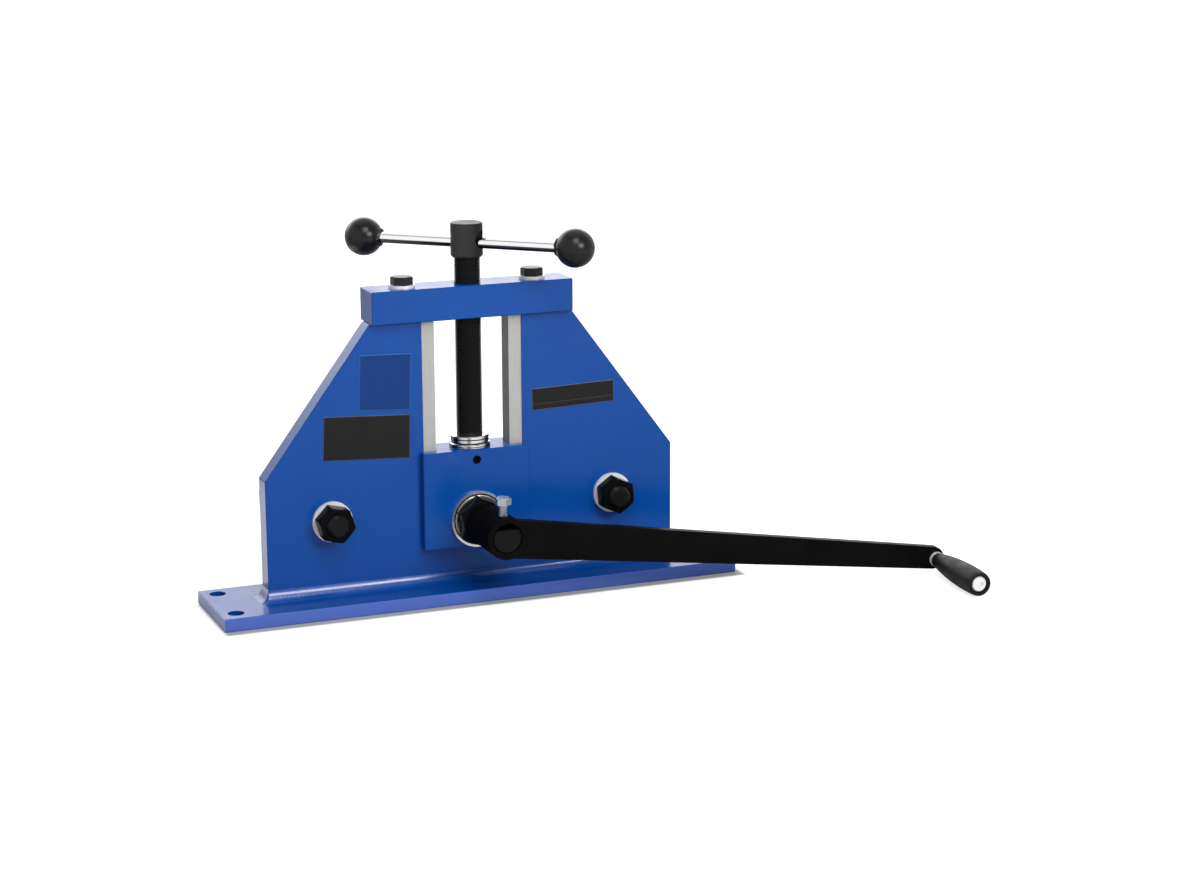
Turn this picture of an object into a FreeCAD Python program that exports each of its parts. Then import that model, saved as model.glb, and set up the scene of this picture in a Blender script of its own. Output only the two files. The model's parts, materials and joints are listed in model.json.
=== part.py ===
import FreeCAD, Part
import math
import os

import Sketcher

# Ring roller: an upright plate on a welded foot carries two idle rollers behind it, and a
# slide block with the cranked drive roller runs in a slot between them. A screw with a
# tommy bar moves the block up and down through a thrust bearing.
#
# Frame: origin at the centre of the foot's underside, +X to the right along the foot, +Y to
# the rear where the rollers are, +Z up. The plate's mid-plane is Y = 0 and holds the screw's
# axis. Millimetres and degrees. The slide block stands at the bottom of its travel.

doc = FreeCAD.newDocument("ring_roller")

SIZES = [
    ("base_length", 493.0, "foot plate, along X"),
    ("base_depth", 97.0, "foot plate, along Y"),
    ("base_thick", 12.0, "foot plate, along Z"),
    ("base_hole_dia", 15.0, "bolt holes in the foot"),
    ("base_hole_inset", 14.5, "bolt holes' centres from the foot's ends"),
    ("base_hole_margin", 16.0, "bolt holes' centres from the foot's long edges"),
    ("edge_break", 0.7, "chamfer on the edges of the painted plates"),
    ("plate_foot_width", 392.0, "upright plate at the foot"),
    ("plate_head_width", 193.0, "upright plate under the top bar"),
    ("plate_side", 110.0, "height of the plate's upright sides"),
    ("plate_height", 244.0, "height of the plate above the foot"),
    ("plate_thick", 21.0, "upright plate, along Y"),
    ("weld_leg", 9.0, "fillet weld between plate and foot"),
    ("window_width", 71.0, "clear width between the guide rails"),
    ("rail_thick", 12.3, "guide rail, along X"),
    ("rail_recess", 1.5, "guide rail's faces inside the plate's faces"),
    ("floor_gap", 0.5, "slide block's underside above the slot's floor"),
    ("slide_clear", 0.3, "slide block to rails and plate, each side"),
    ("bar_inset", 1.0, "top bar's ends inside the plate's top corners"),
    ("bar_depth", 35.0, "top bar, along Y"),
    ("bar_height", 30.0, "top bar, along Z"),
    ("bar_bolt_inset", 14.2, "top bar bolts' centres beside the slot"),
    ("bar_bolt_dia", 12.0, "top bar bolt, thread"),
    ("bar_bolt_flats", 18.0, "top bar bolt, across flats"),
    ("bar_bolt_head", 7.5, "top bar bolt, head height"),
    ("bar_bolt_reach", 26.0, "top bar bolt, length in the plate"),
    ("bar_washer_dia", 24.0, "top bar washer, outside"),
    ("bar_washer_thick", 2.5, "top bar washer"),
    ("tap_run", 2.0, "tapped holes beyond the ends of their bolts"),
    ("flange_lap", 3.1, "slide block's flanges over the plate beside the slot"),
    ("flange_stand", 8.5, "slide block's faces beyond the plate's faces"),
    ("block_height", 90.2, "slide block, along Z"),
    ("block_rest", 33.2, "slide block's underside above the foot"),
    ("shaft_rise", 25.7, "drive shaft's axis above the block's underside"),
    ("screw_dia", 24.0, "press screw, thread outside"),
    ("screw_clear", 0.08, "press screw in its holes, radial"),
    ("head_step", 2.6, "press screw head beyond the thread, radial"),
    ("head_height", 31.0, "press screw head"),
    ("head_stand", 23.7, "press screw head above the top bar"),
    ("head_chamfer", 1.5, "press screw head, top and bottom edges"),
    ("screw_chamfer", 1.0, "press screw, ends of the thread and of the neck"),
    ("neck_dia", 20.0, "press screw neck in the bearing and the block"),
    ("neck_depth", 23.0, "press screw neck, length in the block"),
    ("lock_groove_depth", 2.5, "groove in the neck for the lock screw"),
    ("lock_groove_width", 7.0, "groove in the neck, along Z"),
    ("lock_screw_dia", 8.0, "lock screw, thread"),
    ("lock_tip_dia", 6.0, "lock screw, dog point"),
    ("lock_screw_sink", 1.2, "lock screw below the block's face"),
    ("lock_screw_drop", 9.5, "lock screw below the block's top"),
    ("hex_socket", 4.0, "hexagon socket of the lock screw, across flats"),
    ("race_outer", 35.2, "upper bearing race, outside"),
    ("race_lip", 1.2, "lower bearing race beyond the upper one, all round"),
    ("race_thick", 4.1, "bearing race"),
    ("race_chamfer", 0.7, "bearing race, outer edges"),
    ("bearing_height", 10.4, "thrust bearing, overall"),
    ("ball_share", 0.7, "bearing balls, part of the races' width"),
    ("ball_clear", 0.3, "balls to the races' grooves"),
    ("ball_count", 12, "bearing balls"),
    ("cage_play", 0.3, "ball cage to the races, along Z"),
    ("cage_web", 0.5, "ball cage inside and outside the balls"),
    ("tommy_dia", 10.0, "tommy bar"),
    ("tommy_hole_dia", 16.0, "cross hole in the screw head"),
    ("tommy_hole_drop", 15.1, "cross hole's axis below the head's top"),
    ("tommy_span", 207.0, "tommy bar, knob centre to knob centre"),
    ("tommy_angle", -43.3, "tommy bar's direction, from +X"),
    ("tommy_shift", 1.3, "tommy bar's middle to the right of the screw's axis"),
    ("knob_dia", 35.0, "ball knob"),
    ("knob_collar_dia", 16.5, "ball knob's collar"),
    ("knob_collar_stand", 2.2, "ball knob's collar, out of the ball"),
    ("knob_bore_depth", 16.0, "tommy bar's length inside a knob"),
    ("axle_inset", 60.5, "idle axles inside the plate's sides"),
    ("axle_height", 68.2, "idle axles above the foot"),
    ("axle_thread_dia", 20.0, "idle axle in the plate"),
    ("axle_stub", 23.0, "idle axle in front of the plate"),
    ("axle_shoulder_dia", 38.0, "idle axle's shoulder behind the plate"),
    ("journal_dia", 25.0, "idle axle under the roller"),
    ("axle_washer_dia", 37.0, "idle axle washer, outside"),
    ("axle_washer_thick", 3.0, "idle axle washer"),
    ("axle_nut_flats", 30.0, "idle axle nut, across flats"),
    ("axle_nut_height", 16.0, "idle axle nut"),
    ("axle_nut_angle_left", -16.5, "left axle nut, turned about its axle"),
    ("axle_nut_angle_right", -5.0, "right axle nut, turned about its axle"),
    ("thread_chamfer", 2.0, "chamfer on the ends of axles and shaft"),
    ("roller_standoff", 15.0, "rollers behind the plate"),
    ("disc_dia", 78.0, "roller discs, outside"),
    ("disc_width", 14.0, "roller disc"),
    ("disc_chamfer", 1.5, "roller disc, outer edges"),
    ("groove_width", 15.0, "between two roller discs"),
    ("core_dia", 50.0, "roller core, bottom of the grooves"),
    ("end_play", 0.3, "turning pieces, each side along their axle"),
    ("bush_wall", 2.5, "roller bush"),
    ("bush_length", 28.0, "roller bush"),
    ("bush_clear", 0.05, "shaft or axle in its bush, radial"),
    ("end_washer_dia", 40.0, "end washer, outside"),
    ("end_washer_thick", 4.0, "end washer"),
    ("end_bolt_dia", 10.0, "end bolt, thread"),
    ("end_bolt_flats", 16.0, "end bolt, across flats"),
    ("end_bolt_head", 6.4, "end bolt, head height"),
    ("end_bolt_length", 20.0, "end bolt, in the axle"),
    ("shaft_dia", 30.0, "drive shaft in the block and the core"),
    ("shaft_bush_wall", 5.0, "drive shaft bush"),
    ("shaft_bush_length", 17.0, "drive shaft bush"),
    ("shaft_collar_dia", 44.0, "drive shaft's collar behind the block"),
    ("shaft_thread_dia", 27.0, "drive shaft under the nut"),
    ("stub_step", 0.2, "drive shaft in the crank hub, inside its thread, radial"),
    ("stub_recess", 1.0, "drive shaft's end inside the hub's face"),
    ("flat_rise", 7.7, "flat on the drive shaft, above its axis"),
    ("thrust_washer_dia", 52.0, "thrust washer, outside"),
    ("lock_washer_dia", 44.0, "lock washer, outside"),
    ("shaft_washer_thick", 3.0, "thrust washer and lock washer"),
    ("shaft_nut_flats", 41.0, "drive shaft nut, across flats"),
    ("shaft_nut_height", 16.0, "drive shaft nut"),
    ("shaft_nut_angle", -8.0, "drive shaft nut, turned about the shaft"),
    ("key_width", 8.0, "drive key"),
    ("key_height", 7.0, "drive key"),
    ("key_length", 50.0, "drive key"),
    ("key_sink", 4.0, "drive key, depth in the shaft"),
    ("hub_dia", 38.0, "crank hub, outside"),
    ("hub_clear", 0.4, "drive shaft in the crank hub, radial"),
    ("hub_length", 54.5, "crank hub"),
    ("hub_gap", 2.7, "crank hub's back in front of the shaft nut"),
    ("hub_chamfer", 1.2, "crank hub, edges of the bore and the rim"),
    ("set_bolt_dia", 8.0, "set bolt, thread"),
    ("set_bolt_flats", 13.0, "set bolt, across flats"),
    ("set_bolt_head", 6.5, "set bolt, head height"),
    ("set_bolt_stand", 10.3, "set bolt's head above the hub"),
    ("set_bolt_inset", 12.0, "set bolt behind the hub's face"),
    ("arm_thick", 8.0, "crank arm"),
    ("arm_root_inset", 1.4, "crank arm at the hub, inside the hub's outline, radial"),
    ("arm_tip_width", 21.2, "crank arm at the grip"),
    ("arm_length", 425.0, "drive shaft's axis to the grip's axis"),
    ("arm_nose_back", 3.5, "centre of the arm's rounded end before the grip's axis"),
    ("arm_droop_angle", 7.8, "crank arm below level"),
    ("arm_lean_angle", 3.4, "crank arm forward of the plate's plane"),
    ("arm_roll_angle", 0.6, "crank arm's upper edge forward, about its length"),
    ("arm_setback", 1.1, "crank arm behind the hub's face"),
    ("spindle_dia", 8.0, "grip spindle"),
    ("spindle_drop", 1.0, "grip spindle below the arm's middle"),
    ("spindle_head_dia", 14.0, "grip spindle's head"),
    ("spindle_head_length", 5.0, "grip spindle's head"),
    ("spindle_head_bevel", 0.8, "grip spindle's head, rim"),
    ("spindle_head_sink", 0.6, "spindle head inside the grip's end"),
    ("grip_washer_dia", 14.4, "washer between arm and grip"),
    ("grip_washer_thick", 3.0, "washer between arm and grip"),
    ("grip_length", 86.0, "hand grip"),
    ("grip_root_dia", 13.4, "hand grip at the arm"),
    ("grip_end_dia", 23.4, "hand grip near its end"),
    ("grip_swell", 1.9, "hand grip's swell over a straight taper, radial"),
    ("grip_end_round", 9.0, "hand grip's rounded end, along it"),
    ("grip_end_fall", 0.9, "hand grip's rounded end, smaller in radius"),
    ("grip_wall", 1.0, "spindle head to the grip's recess, radial"),
    ("grip_clear", 0.1, "grip on its spindle, radial"),
]

sizes = doc.addObject("Spreadsheet::Sheet", "sizes")
for row, (alias, value, note) in enumerate(SIZES, start=1):
    sizes.set("A%d" % row, note)
    sizes.set("B%d" % row, str(value))
    sizes.setAlias("B%d" % row, alias)
doc.recompute()

PLATE_TOP = "(sizes.base_thick + sizes.plate_height)"
BAR_TOP = "(%s + sizes.bar_height)" % PLATE_TOP
BAR_HALF = "(sizes.plate_head_width / 2 - sizes.bar_inset)"
PLATE_FACE = "(sizes.plate_thick / 2)"
SLOT_HALF = "(sizes.window_width / 2 + sizes.rail_thick)"
BAR_BOLT_X = "(%s + sizes.bar_bolt_inset)" % SLOT_HALF
BLOCK_FLOOR = "(sizes.base_thick + sizes.block_rest)"
BLOCK_TOP = "(%s + sizes.block_height)" % BLOCK_FLOOR
SLOT_FLOOR = "(%s - sizes.floor_gap)" % BLOCK_FLOOR
BLOCK_FACE = "(%s + sizes.flange_stand)" % PLATE_FACE
BLOCK_HALF = "(%s + sizes.flange_lap)" % SLOT_HALF
SHAFT_Z = "(%s + sizes.shaft_rise)" % BLOCK_FLOOR
AXLE_X = "(sizes.plate_foot_width / 2 - sizes.axle_inset)"
AXLE_Z = "(sizes.base_thick + sizes.axle_height)"
BEARING_TOP = "(%s + sizes.bearing_height)" % BLOCK_TOP
BALL_Z = "(%s + sizes.bearing_height / 2)" % BLOCK_TOP
BALL_RING = "((sizes.race_outer + sizes.neck_dia) / 4)"
BALL_RADIUS = "((sizes.race_outer - sizes.neck_dia) / 4 * sizes.ball_share)"
HEAD_FLOOR = "(%s + sizes.head_stand)" % BAR_TOP
HEAD_TOP = "(%s + sizes.head_height)" % HEAD_FLOOR
TOMMY_HOLE_Z = "(%s - sizes.tommy_hole_drop)" % HEAD_TOP
TOMMY_Z = "(%s - (sizes.tommy_hole_dia - sizes.tommy_dia) / 2 + sizes.screw_clear)" % TOMMY_HOLE_Z
LOCK_Z = "(%s - sizes.lock_screw_drop)" % BLOCK_TOP
ROLLER_START = "(%s + sizes.roller_standoff)" % PLATE_FACE
ROLLER_WIDTH = "(3 * sizes.disc_width + 2 * sizes.groove_width)"
ROLLER_END = "(%s + %s)" % (ROLLER_START, ROLLER_WIDTH)
NUT_SEAT = "(%s + sizes.end_play + 2 * sizes.shaft_washer_thick)" % BLOCK_FACE
HUB_BACK = "(%s + sizes.shaft_nut_height + sizes.hub_gap)" % NUT_SEAT
HUB_FACE = "(%s + sizes.hub_length)" % HUB_BACK
STUB_RADIUS = "(sizes.shaft_thread_dia / 2 - sizes.stub_step)"

SIDES = {"left": -1, "right": 1}
pieces = []
gauge = doc.addObject("App::FeaturePython", "gauge")
gauge.addProperty("App::PropertyFloat", "reading")


def amount(expression):
    """The present value of an expression on the sheet."""
    gauge.setExpression("reading", expression)
    gauge.recompute()
    return gauge.reading


def place(x="0", y="0", z="0", axis=(0, 0, 1), angle="0"):
    """The text of a placement whose parts are expressions."""
    vector = "create(<<vector>>; %s; %s; %s)"
    rotation = "create(<<rotation>>; %s; %s)" % (vector % axis, angle)
    return "create(<<placement>>; %s; %s)" % (vector % (x, y, z), rotation)


def keep(piece, label):
    """Name a finished sub-part and list it for export."""
    piece.Label = label
    pieces.append(piece)
    return piece


def new_sketch(body, role, lift="0"):
    """A sketch on one of the body's origin planes, lifted along the plane's normal."""
    sketch = body.newObject("Sketcher::SketchObject", "sketch")
    plane = next(item for item in body.Origin.OriginFeatures if item.Role == role)
    sketch.AttachmentSupport = [(plane, "")]
    sketch.MapMode = "FlatFace"
    sketch.setExpression("AttachmentOffset.Base.z", lift)
    return sketch


def pin_point(sketch, geometry, vertex, x, y):
    """Tie one point of a sketch to its two coordinates."""
    for kind, text in (("DistanceX", x), ("DistanceY", y)):
        rule = Sketcher.Constraint(kind, -1, 1, geometry, vertex, amount(text))
        index = sketch.addConstraint(rule)
        sketch.setExpression("Constraints[%d]" % index, text)


def spot(x, y):
    """The present position of a point given as expressions."""
    return FreeCAD.Vector(amount(x), amount(y), 0)


def draw_outline(sketch, points):
    """A closed outline through points given as expressions.

    A point with four entries starts a counter-clockwise arc, and the last two are a point
    that the arc passes on its way to the next corner.
    """
    corners = [spot(*point[:2]) for point in points]
    ends = corners[1:] + corners[:1]
    first = sketch.GeometryCount
    for point, start, end in zip(points, corners, ends):
        if len(point) == 4:
            edge = Part.Arc(start, spot(*point[2:]), end)
        else:
            edge = Part.LineSegment(start, end)
        sketch.addGeometry(edge, False)
    for i, point in enumerate(points):
        edge = first + i
        follower = first + (i + 1) % len(points)
        sketch.addConstraint(Sketcher.Constraint("Coincident", edge, 2, follower, 1))
        pin_point(sketch, edge, 1, *point[:2])
        if len(point) == 4:
            passed = sketch.addGeometry(Part.Point(spot(*point[2:])), True)
            pin_point(sketch, passed, 1, *point[2:])
            sketch.addConstraint(Sketcher.Constraint("PointOnObject", passed, 1, edge))


def draw_circle(sketch, x, y, radius):
    """A circle whose centre and radius are expressions."""
    circle = Part.Circle(spot(x, y), FreeCAD.Vector(0, 0, 1), amount(radius))
    index = sketch.addGeometry(circle, False)
    pin_point(sketch, index, 3, x, y)
    rule = sketch.addConstraint(Sketcher.Constraint("Radius", index, amount(radius)))
    sketch.setExpression("Constraints[%d]" % rule, radius)


def pad(body, sketch, length, reverse=False):
    """Pad a sketch along its normal, or against it."""
    feature = body.newObject("PartDesign::Pad", "pad")
    feature.Profile = sketch
    feature.Reversed = reverse
    feature.setExpression("Length", length)
    return feature


def pocket(body, sketch, length=None):
    """Pocket a sketch against its normal, to a depth or right through."""
    feature = body.newObject("PartDesign::Pocket", "pocket")
    feature.Profile = sketch
    if length is None:
        feature.Type = "ThroughAll"
    else:
        feature.setExpression("Length", length)
    return feature


def turn(body, points, role="XY_Plane", kind="PartDesign::Revolution"):
    """Revolve an outline of (radius, height) points: about Y on XY, about Z on XZ."""
    sketch = new_sketch(body, role)
    draw_outline(sketch, points)
    feature = body.newObject(kind, "turned")
    feature.Profile = sketch
    feature.ReferenceAxis = (sketch, ["V_Axis"])
    feature.Angle = 360.0
    return feature


def break_edges(body, size="sizes.edge_break"):
    """Chamfer every edge that the body has so far."""
    doc.recompute()
    solid = body.Tip
    feature = body.newObject("PartDesign::Chamfer", "edges")
    feature.Base = (solid, [""])
    feature.UseAllEdges = True
    feature.setExpression("Size", size)
    return feature


def ring_points(inner, outer, low, high):
    """The section of a plain ring."""
    return [(inner, low), (outer, low), (outer, high), (inner, high)]


def hexagon(flats):
    """The corners of a hexagon, two of them on the second axis."""
    half = "(%s / 2)" % flats
    arm = "(%s / 2 / sqrt(3))" % flats
    tip = "(%s / sqrt(3))" % flats
    return [
        (half, "-" + arm),
        (half, arm),
        ("0", tip),
        ("-" + half, arm),
        ("-" + half, "-" + arm),
        ("0", "-" + tip),
    ]


def hex_prism(body, flats, height, bore=None):
    """A hexagon along -Y from the origin, with its far corners turned off at 30 degrees."""
    sketch = new_sketch(body, "XZ_Plane")
    draw_outline(sketch, hexagon(flats))
    if bore:
        draw_circle(sketch, "0", "0", bore)
    pad(body, sketch, height)
    inside = "(%s * 0.47)" % flats
    outside = "(%s * 0.6)" % flats
    fall = "((%s - %s) * tan(30))" % (outside, inside)
    far = "-" + height
    corner = [(inside, far), (outside, far), (outside, "(%s + %s)" % (far, fall))]
    turn(body, corner, kind="PartDesign::Groove")


def new_body(name):
    """An empty body."""
    return doc.addObject("PartDesign::Body", name)


def hex_nut(name, flats, height, bore, placement):
    """A nut with its seat at the origin, standing along -Y."""
    body = new_body(name)
    hex_prism(body, flats, height, bore)
    body.setExpression("Placement", placement)
    return body


def hex_bolt(name, flats, head, radius, length, placement):
    """A bolt with the underside of its head at the origin: head along -Y, shank along +Y."""
    body = new_body(name)
    hex_prism(body, flats, head)
    bevel = "(%s * 0.15)" % radius
    shank = [
        ("0", "0"),
        (radius, "0"),
        (radius, "(%s - %s)" % (length, bevel)),
        ("(%s - %s)" % (radius, bevel), length),
        ("0", length),
    ]
    turn(body, shank)
    body.setExpression("Placement", placement)
    return body


def washer(name, outer, inner, thick, placement):
    """A washer with one face at the origin, standing along -Y."""
    body = new_body(name)
    turn(body, ring_points(inner, outer, "-" + thick, "0"))
    body.setExpression("Placement", placement)
    return body


def group(label, members):
    """Identical pieces that share one node."""
    compound = doc.addObject("Part::Compound", label)
    compound.Links = members
    return keep(compound, label)


def cut(name, base, tool):
    """The base less the tool."""
    result = doc.addObject("Part::Cut", name)
    result.Base = base
    result.Tool = tool
    return result


def make_base():
    """Foot plate with its four bolt holes."""
    body = new_body("base_plate")
    sketch = new_sketch(body, "XY_Plane")
    x = "sizes.base_length / 2"
    y = "sizes.base_depth / 2"
    draw_outline(sketch, [("-" + x, "-" + y), (x, "-" + y), (x, y), ("-" + x, y)])
    pad(body, sketch, "sizes.base_thick")
    break_edges(body)
    holes = new_sketch(body, "XY_Plane", "sizes.base_thick")
    for side in ("-", ""):
        for end in ("-", ""):
            x = side + "(sizes.base_length / 2 - sizes.base_hole_inset)"
            y = end + "(sizes.base_depth / 2 - sizes.base_hole_margin)"
            draw_circle(holes, x, y, "sizes.base_hole_dia / 2")
    pocket(body, holes)
    keep(body, "base_plate")


def make_plate():
    """Upright plate: sloping shoulders, and a slot that is open under the top bar."""
    body = new_body("main_plate")
    sketch = new_sketch(body, "XZ_Plane", "-" + PLATE_FACE)
    foot = "(sizes.plate_foot_width / 2)"
    head = "(sizes.plate_head_width / 2)"
    side = "(sizes.base_thick + sizes.plate_side)"
    right = [(head, PLATE_TOP), (foot, side), (foot, "sizes.base_thick")]
    left = [("-" + x, z) for x, z in reversed(right)]
    draw_outline(sketch, right + left)
    pad(body, sketch, "sizes.plate_thick")
    break_edges(body)
    slot = new_sketch(body, "XZ_Plane", PLATE_FACE)
    x = SLOT_HALF
    above = "(%s + sizes.bar_height)" % PLATE_TOP
    draw_outline(slot, [("-" + x, SLOT_FLOOR), (x, SLOT_FLOOR), (x, above), ("-" + x, above)])
    pocket(body, slot)
    bores = new_sketch(body, "XZ_Plane", PLATE_FACE)
    for sign in ("-", ""):
        draw_circle(bores, sign + AXLE_X, AXLE_Z, "sizes.axle_thread_dia / 2")
    pocket(body, bores)
    threads = new_sketch(body, "XY_Plane", PLATE_TOP)
    for sign in ("-", ""):
        draw_circle(threads, sign + BAR_BOLT_X, "0", "sizes.bar_bolt_dia / 2")
    pocket(body, threads, "sizes.bar_bolt_reach + sizes.tap_run")
    keep(body, "main_plate")


def make_weld():
    """Fillet weld round the plate's foot."""
    body = new_body("weld")
    sections = []
    for leg, lift in (("sizes.weld_leg", "0"), ("0", "sizes.weld_leg")):
        sketch = new_sketch(body, "XY_Plane", "sizes.base_thick + " + lift)
        x = "(sizes.plate_foot_width / 2 + %s)" % leg
        y = "(%s + %s)" % (PLATE_FACE, leg)
        draw_outline(sketch, [("-" + x, "-" + y), (x, "-" + y), (x, y), ("-" + x, y)])
        sections.append(sketch)
    loft = body.newObject("PartDesign::AdditiveLoft", "bead")
    loft.Profile = sections[0]
    loft.Sections = [sections[1]]
    loft.Ruled = True
    core = doc.addObject("Part::Box", "plate_room")
    core.setExpression("Length", "sizes.plate_foot_width")
    core.setExpression("Width", "sizes.plate_thick")
    core.setExpression("Height", "3 * sizes.weld_leg")
    core.setExpression("Placement.Base.x", "-sizes.plate_foot_width / 2")
    core.setExpression("Placement.Base.y", "-" + PLATE_FACE)
    keep(cut("weld_bead", body, core), "weld_bead")


def make_rails():
    """Ground guide rails on both sides of the slot, a little inside the plate's faces."""
    for side, sign in SIDES.items():
        body = new_body("guide_rail_" + side)
        sketch = new_sketch(body, "XY_Plane", SLOT_FLOOR)
        near = "(%d * sizes.window_width / 2)" % sign
        far = "(%d * %s)" % (sign, SLOT_HALF)
        y = "(%s - sizes.rail_recess)" % PLATE_FACE
        draw_outline(sketch, [(near, "-" + y), (far, "-" + y), (far, y), (near, y)])
        pad(body, sketch, "%s - %s" % (PLATE_TOP, SLOT_FLOOR))
        keep(body, "guide_rail_" + side)


def make_top_bar():
    """Top bar, with the screw's threaded hole and two bolts with washers."""
    body = new_body("top_bar")
    sketch = new_sketch(body, "XY_Plane", PLATE_TOP)
    x = BAR_HALF
    y = "sizes.bar_depth / 2"
    draw_outline(sketch, [("-" + x, "-" + y), (x, "-" + y), (x, y), ("-" + x, y)])
    pad(body, sketch, "sizes.bar_height")
    break_edges(body)
    holes = new_sketch(body, "XY_Plane", BAR_TOP)
    draw_circle(holes, "0", "0", "sizes.screw_dia / 2 + sizes.screw_clear")
    for sign in ("-", ""):
        draw_circle(holes, sign + BAR_BOLT_X, "0", "sizes.bar_bolt_dia / 2")
    pocket(body, holes)
    keep(body, "top_bar")
    bolts = []
    washers = []
    for side, sign in SIDES.items():
        x = "%d * %s" % (sign, BAR_BOLT_X)
        seat = BAR_TOP + " + sizes.bar_washer_thick"
        at = place(x, "0", seat, (1, 0, 0), "-90")
        length = "(sizes.bar_washer_thick + sizes.bar_height + sizes.bar_bolt_reach)"
        flats = "sizes.bar_bolt_flats"
        head = "sizes.bar_bolt_head"
        radius = "(sizes.bar_bolt_dia / 2)"
        bolts.append(hex_bolt("bar_bolt_" + side, flats, head, radius, length, at))
        at = place(x, "0", BAR_TOP, (1, 0, 0), "-90")
        outer = "sizes.bar_washer_dia / 2"
        thick = "sizes.bar_washer_thick"
        washers.append(washer("bar_washer_" + side, outer, radius, thick, at))
    group("top_bar_bolts", bolts)
    group("top_bar_washers", washers)


def make_axle(side, sign):
    """Idle axle: threaded through the plate, shouldered behind it, and a plain journal."""
    body = new_body("idle_axle_" + side)
    thread = "(sizes.axle_thread_dia / 2)"
    bevel = "sizes.thread_chamfer"
    front = "-(%s + sizes.axle_stub)" % PLATE_FACE
    shoulder = "sizes.axle_shoulder_dia / 2"
    shoulder_end = "(%s - sizes.end_play)" % ROLLER_START
    journal = "sizes.journal_dia / 2"
    end = "(%s + sizes.end_play)" % ROLLER_END
    tap = "(sizes.end_bolt_dia / 2)"
    tap_floor = "(%s - sizes.end_bolt_length - sizes.tap_run)" % end
    outline = [
        ("0", front),
        ("%s - %s" % (thread, bevel), front),
        (thread, "(%s + %s)" % (front, bevel)),
        (thread, PLATE_FACE),
        (shoulder, PLATE_FACE),
        (shoulder, shoulder_end),
        (journal, shoulder_end),
        (journal, end),
        (tap, end),
        (tap, tap_floor),
        ("0", tap_floor),
    ]
    turn(body, outline)
    body.setExpression("Placement", place("%d * %s" % (sign, AXLE_X), "0", AXLE_Z))
    keep(body, "idle_axle_" + side)


def make_disc(label, place_number, at):
    """One roller disc on its core, counted from the plate."""
    low = "(%s + %d * (sizes.disc_width + sizes.groove_width))" % (ROLLER_START, place_number)
    high = "(%s + sizes.disc_width)" % low
    bore = "sizes.core_dia / 2"
    rim = "sizes.disc_dia / 2"
    bevel = "sizes.disc_chamfer"
    outline = [
        (bore, low),
        ("%s - %s" % (rim, bevel), low),
        (rim, "(%s + %s)" % (low, bevel)),
        (rim, "(%s - %s)" % (high, bevel)),
        ("%s - %s" % (rim, bevel), high),
        (bore, high),
    ]
    body = new_body(label)
    turn(body, outline)
    body.setExpression("Placement", at)
    keep(body, label)


def make_discs(prefix, at):
    """The three discs of a roller."""
    for number, position in enumerate(("inner", "middle", "outer")):
        make_disc("%s_disc_%s" % (prefix, position), number, at)


def make_idle_roller(side, sign):
    """Idle roller: a bushed core with three discs, free on its axle."""
    at = place("%d * %s" % (sign, AXLE_X), "0", AXLE_Z)
    bore = "(sizes.journal_dia / 2 + sizes.bush_clear)"
    seat = "(%s + sizes.bush_wall)" % bore
    core = new_body("idle_core_" + side)
    turn(core, ring_points(seat, "sizes.core_dia / 2", ROLLER_START, ROLLER_END))
    core.setExpression("Placement", at)
    keep(core, "idle_core_" + side)
    make_discs("idle_%s" % side, at)
    bushes = []
    low_end = "(%s + sizes.bush_length)" % ROLLER_START
    high_end = "(%s - sizes.bush_length)" % ROLLER_END
    for low, high in ((ROLLER_START, low_end), (high_end, ROLLER_END)):
        bush = new_body("idle_bush")
        turn(bush, ring_points(bore, seat, low, high))
        bush.setExpression("Placement", at)
        bushes.append(bush)
    group("idle_bushes_" + side, bushes)


def end_fixing(name, x, y, z):
    """End washer and end bolt that hold a roller on its axle, heads to the rear."""
    outer = "sizes.end_washer_dia / 2"
    radius = "(sizes.end_bolt_dia / 2)"
    thick = "sizes.end_washer_thick"
    at = place(x, y, z, (0, 0, 1), "180")
    plain = washer(name + "_washer", outer, radius, thick, at)
    at = place(x, "%s + %s" % (y, thick), z, (0, 0, 1), "180")
    flats = "sizes.end_bolt_flats"
    length = "(sizes.end_washer_thick + sizes.end_bolt_length)"
    bolt = hex_bolt(name + "_bolt", flats, "sizes.end_bolt_head", radius, length, at)
    return plain, bolt


def make_idle_side():
    """Axles, rollers and their fastenings on both sides."""
    nuts = []
    washers = []
    end_washers = []
    end_bolts = []
    thread = "sizes.axle_thread_dia / 2"
    flats = "sizes.axle_nut_flats"
    for side, sign in SIDES.items():
        make_axle(side, sign)
        make_idle_roller(side, sign)
        x = "%d * %s" % (sign, AXLE_X)
        face = "-" + PLATE_FACE
        at = place(x, face, AXLE_Z)
        outer = "sizes.axle_washer_dia / 2"
        thick = "sizes.axle_washer_thick"
        washers.append(washer("axle_washer_" + side, outer, thread, thick, at))
        seat = "%s - sizes.axle_washer_thick" % face
        at = place(x, seat, AXLE_Z, (0, 1, 0), "sizes.axle_nut_angle_" + side)
        height = "sizes.axle_nut_height"
        nuts.append(hex_nut("axle_nut_" + side, flats, height, thread, at))
        plain, bolt = end_fixing("idle_end_" + side, x, ROLLER_END + " + sizes.end_play", AXLE_Z)
        end_washers.append(plain)
        end_bolts.append(bolt)
    group("axle_washers", washers)
    group("axle_nuts", nuts)
    group("idle_end_washers", end_washers)
    group("idle_end_bolts", end_bolts)


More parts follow.
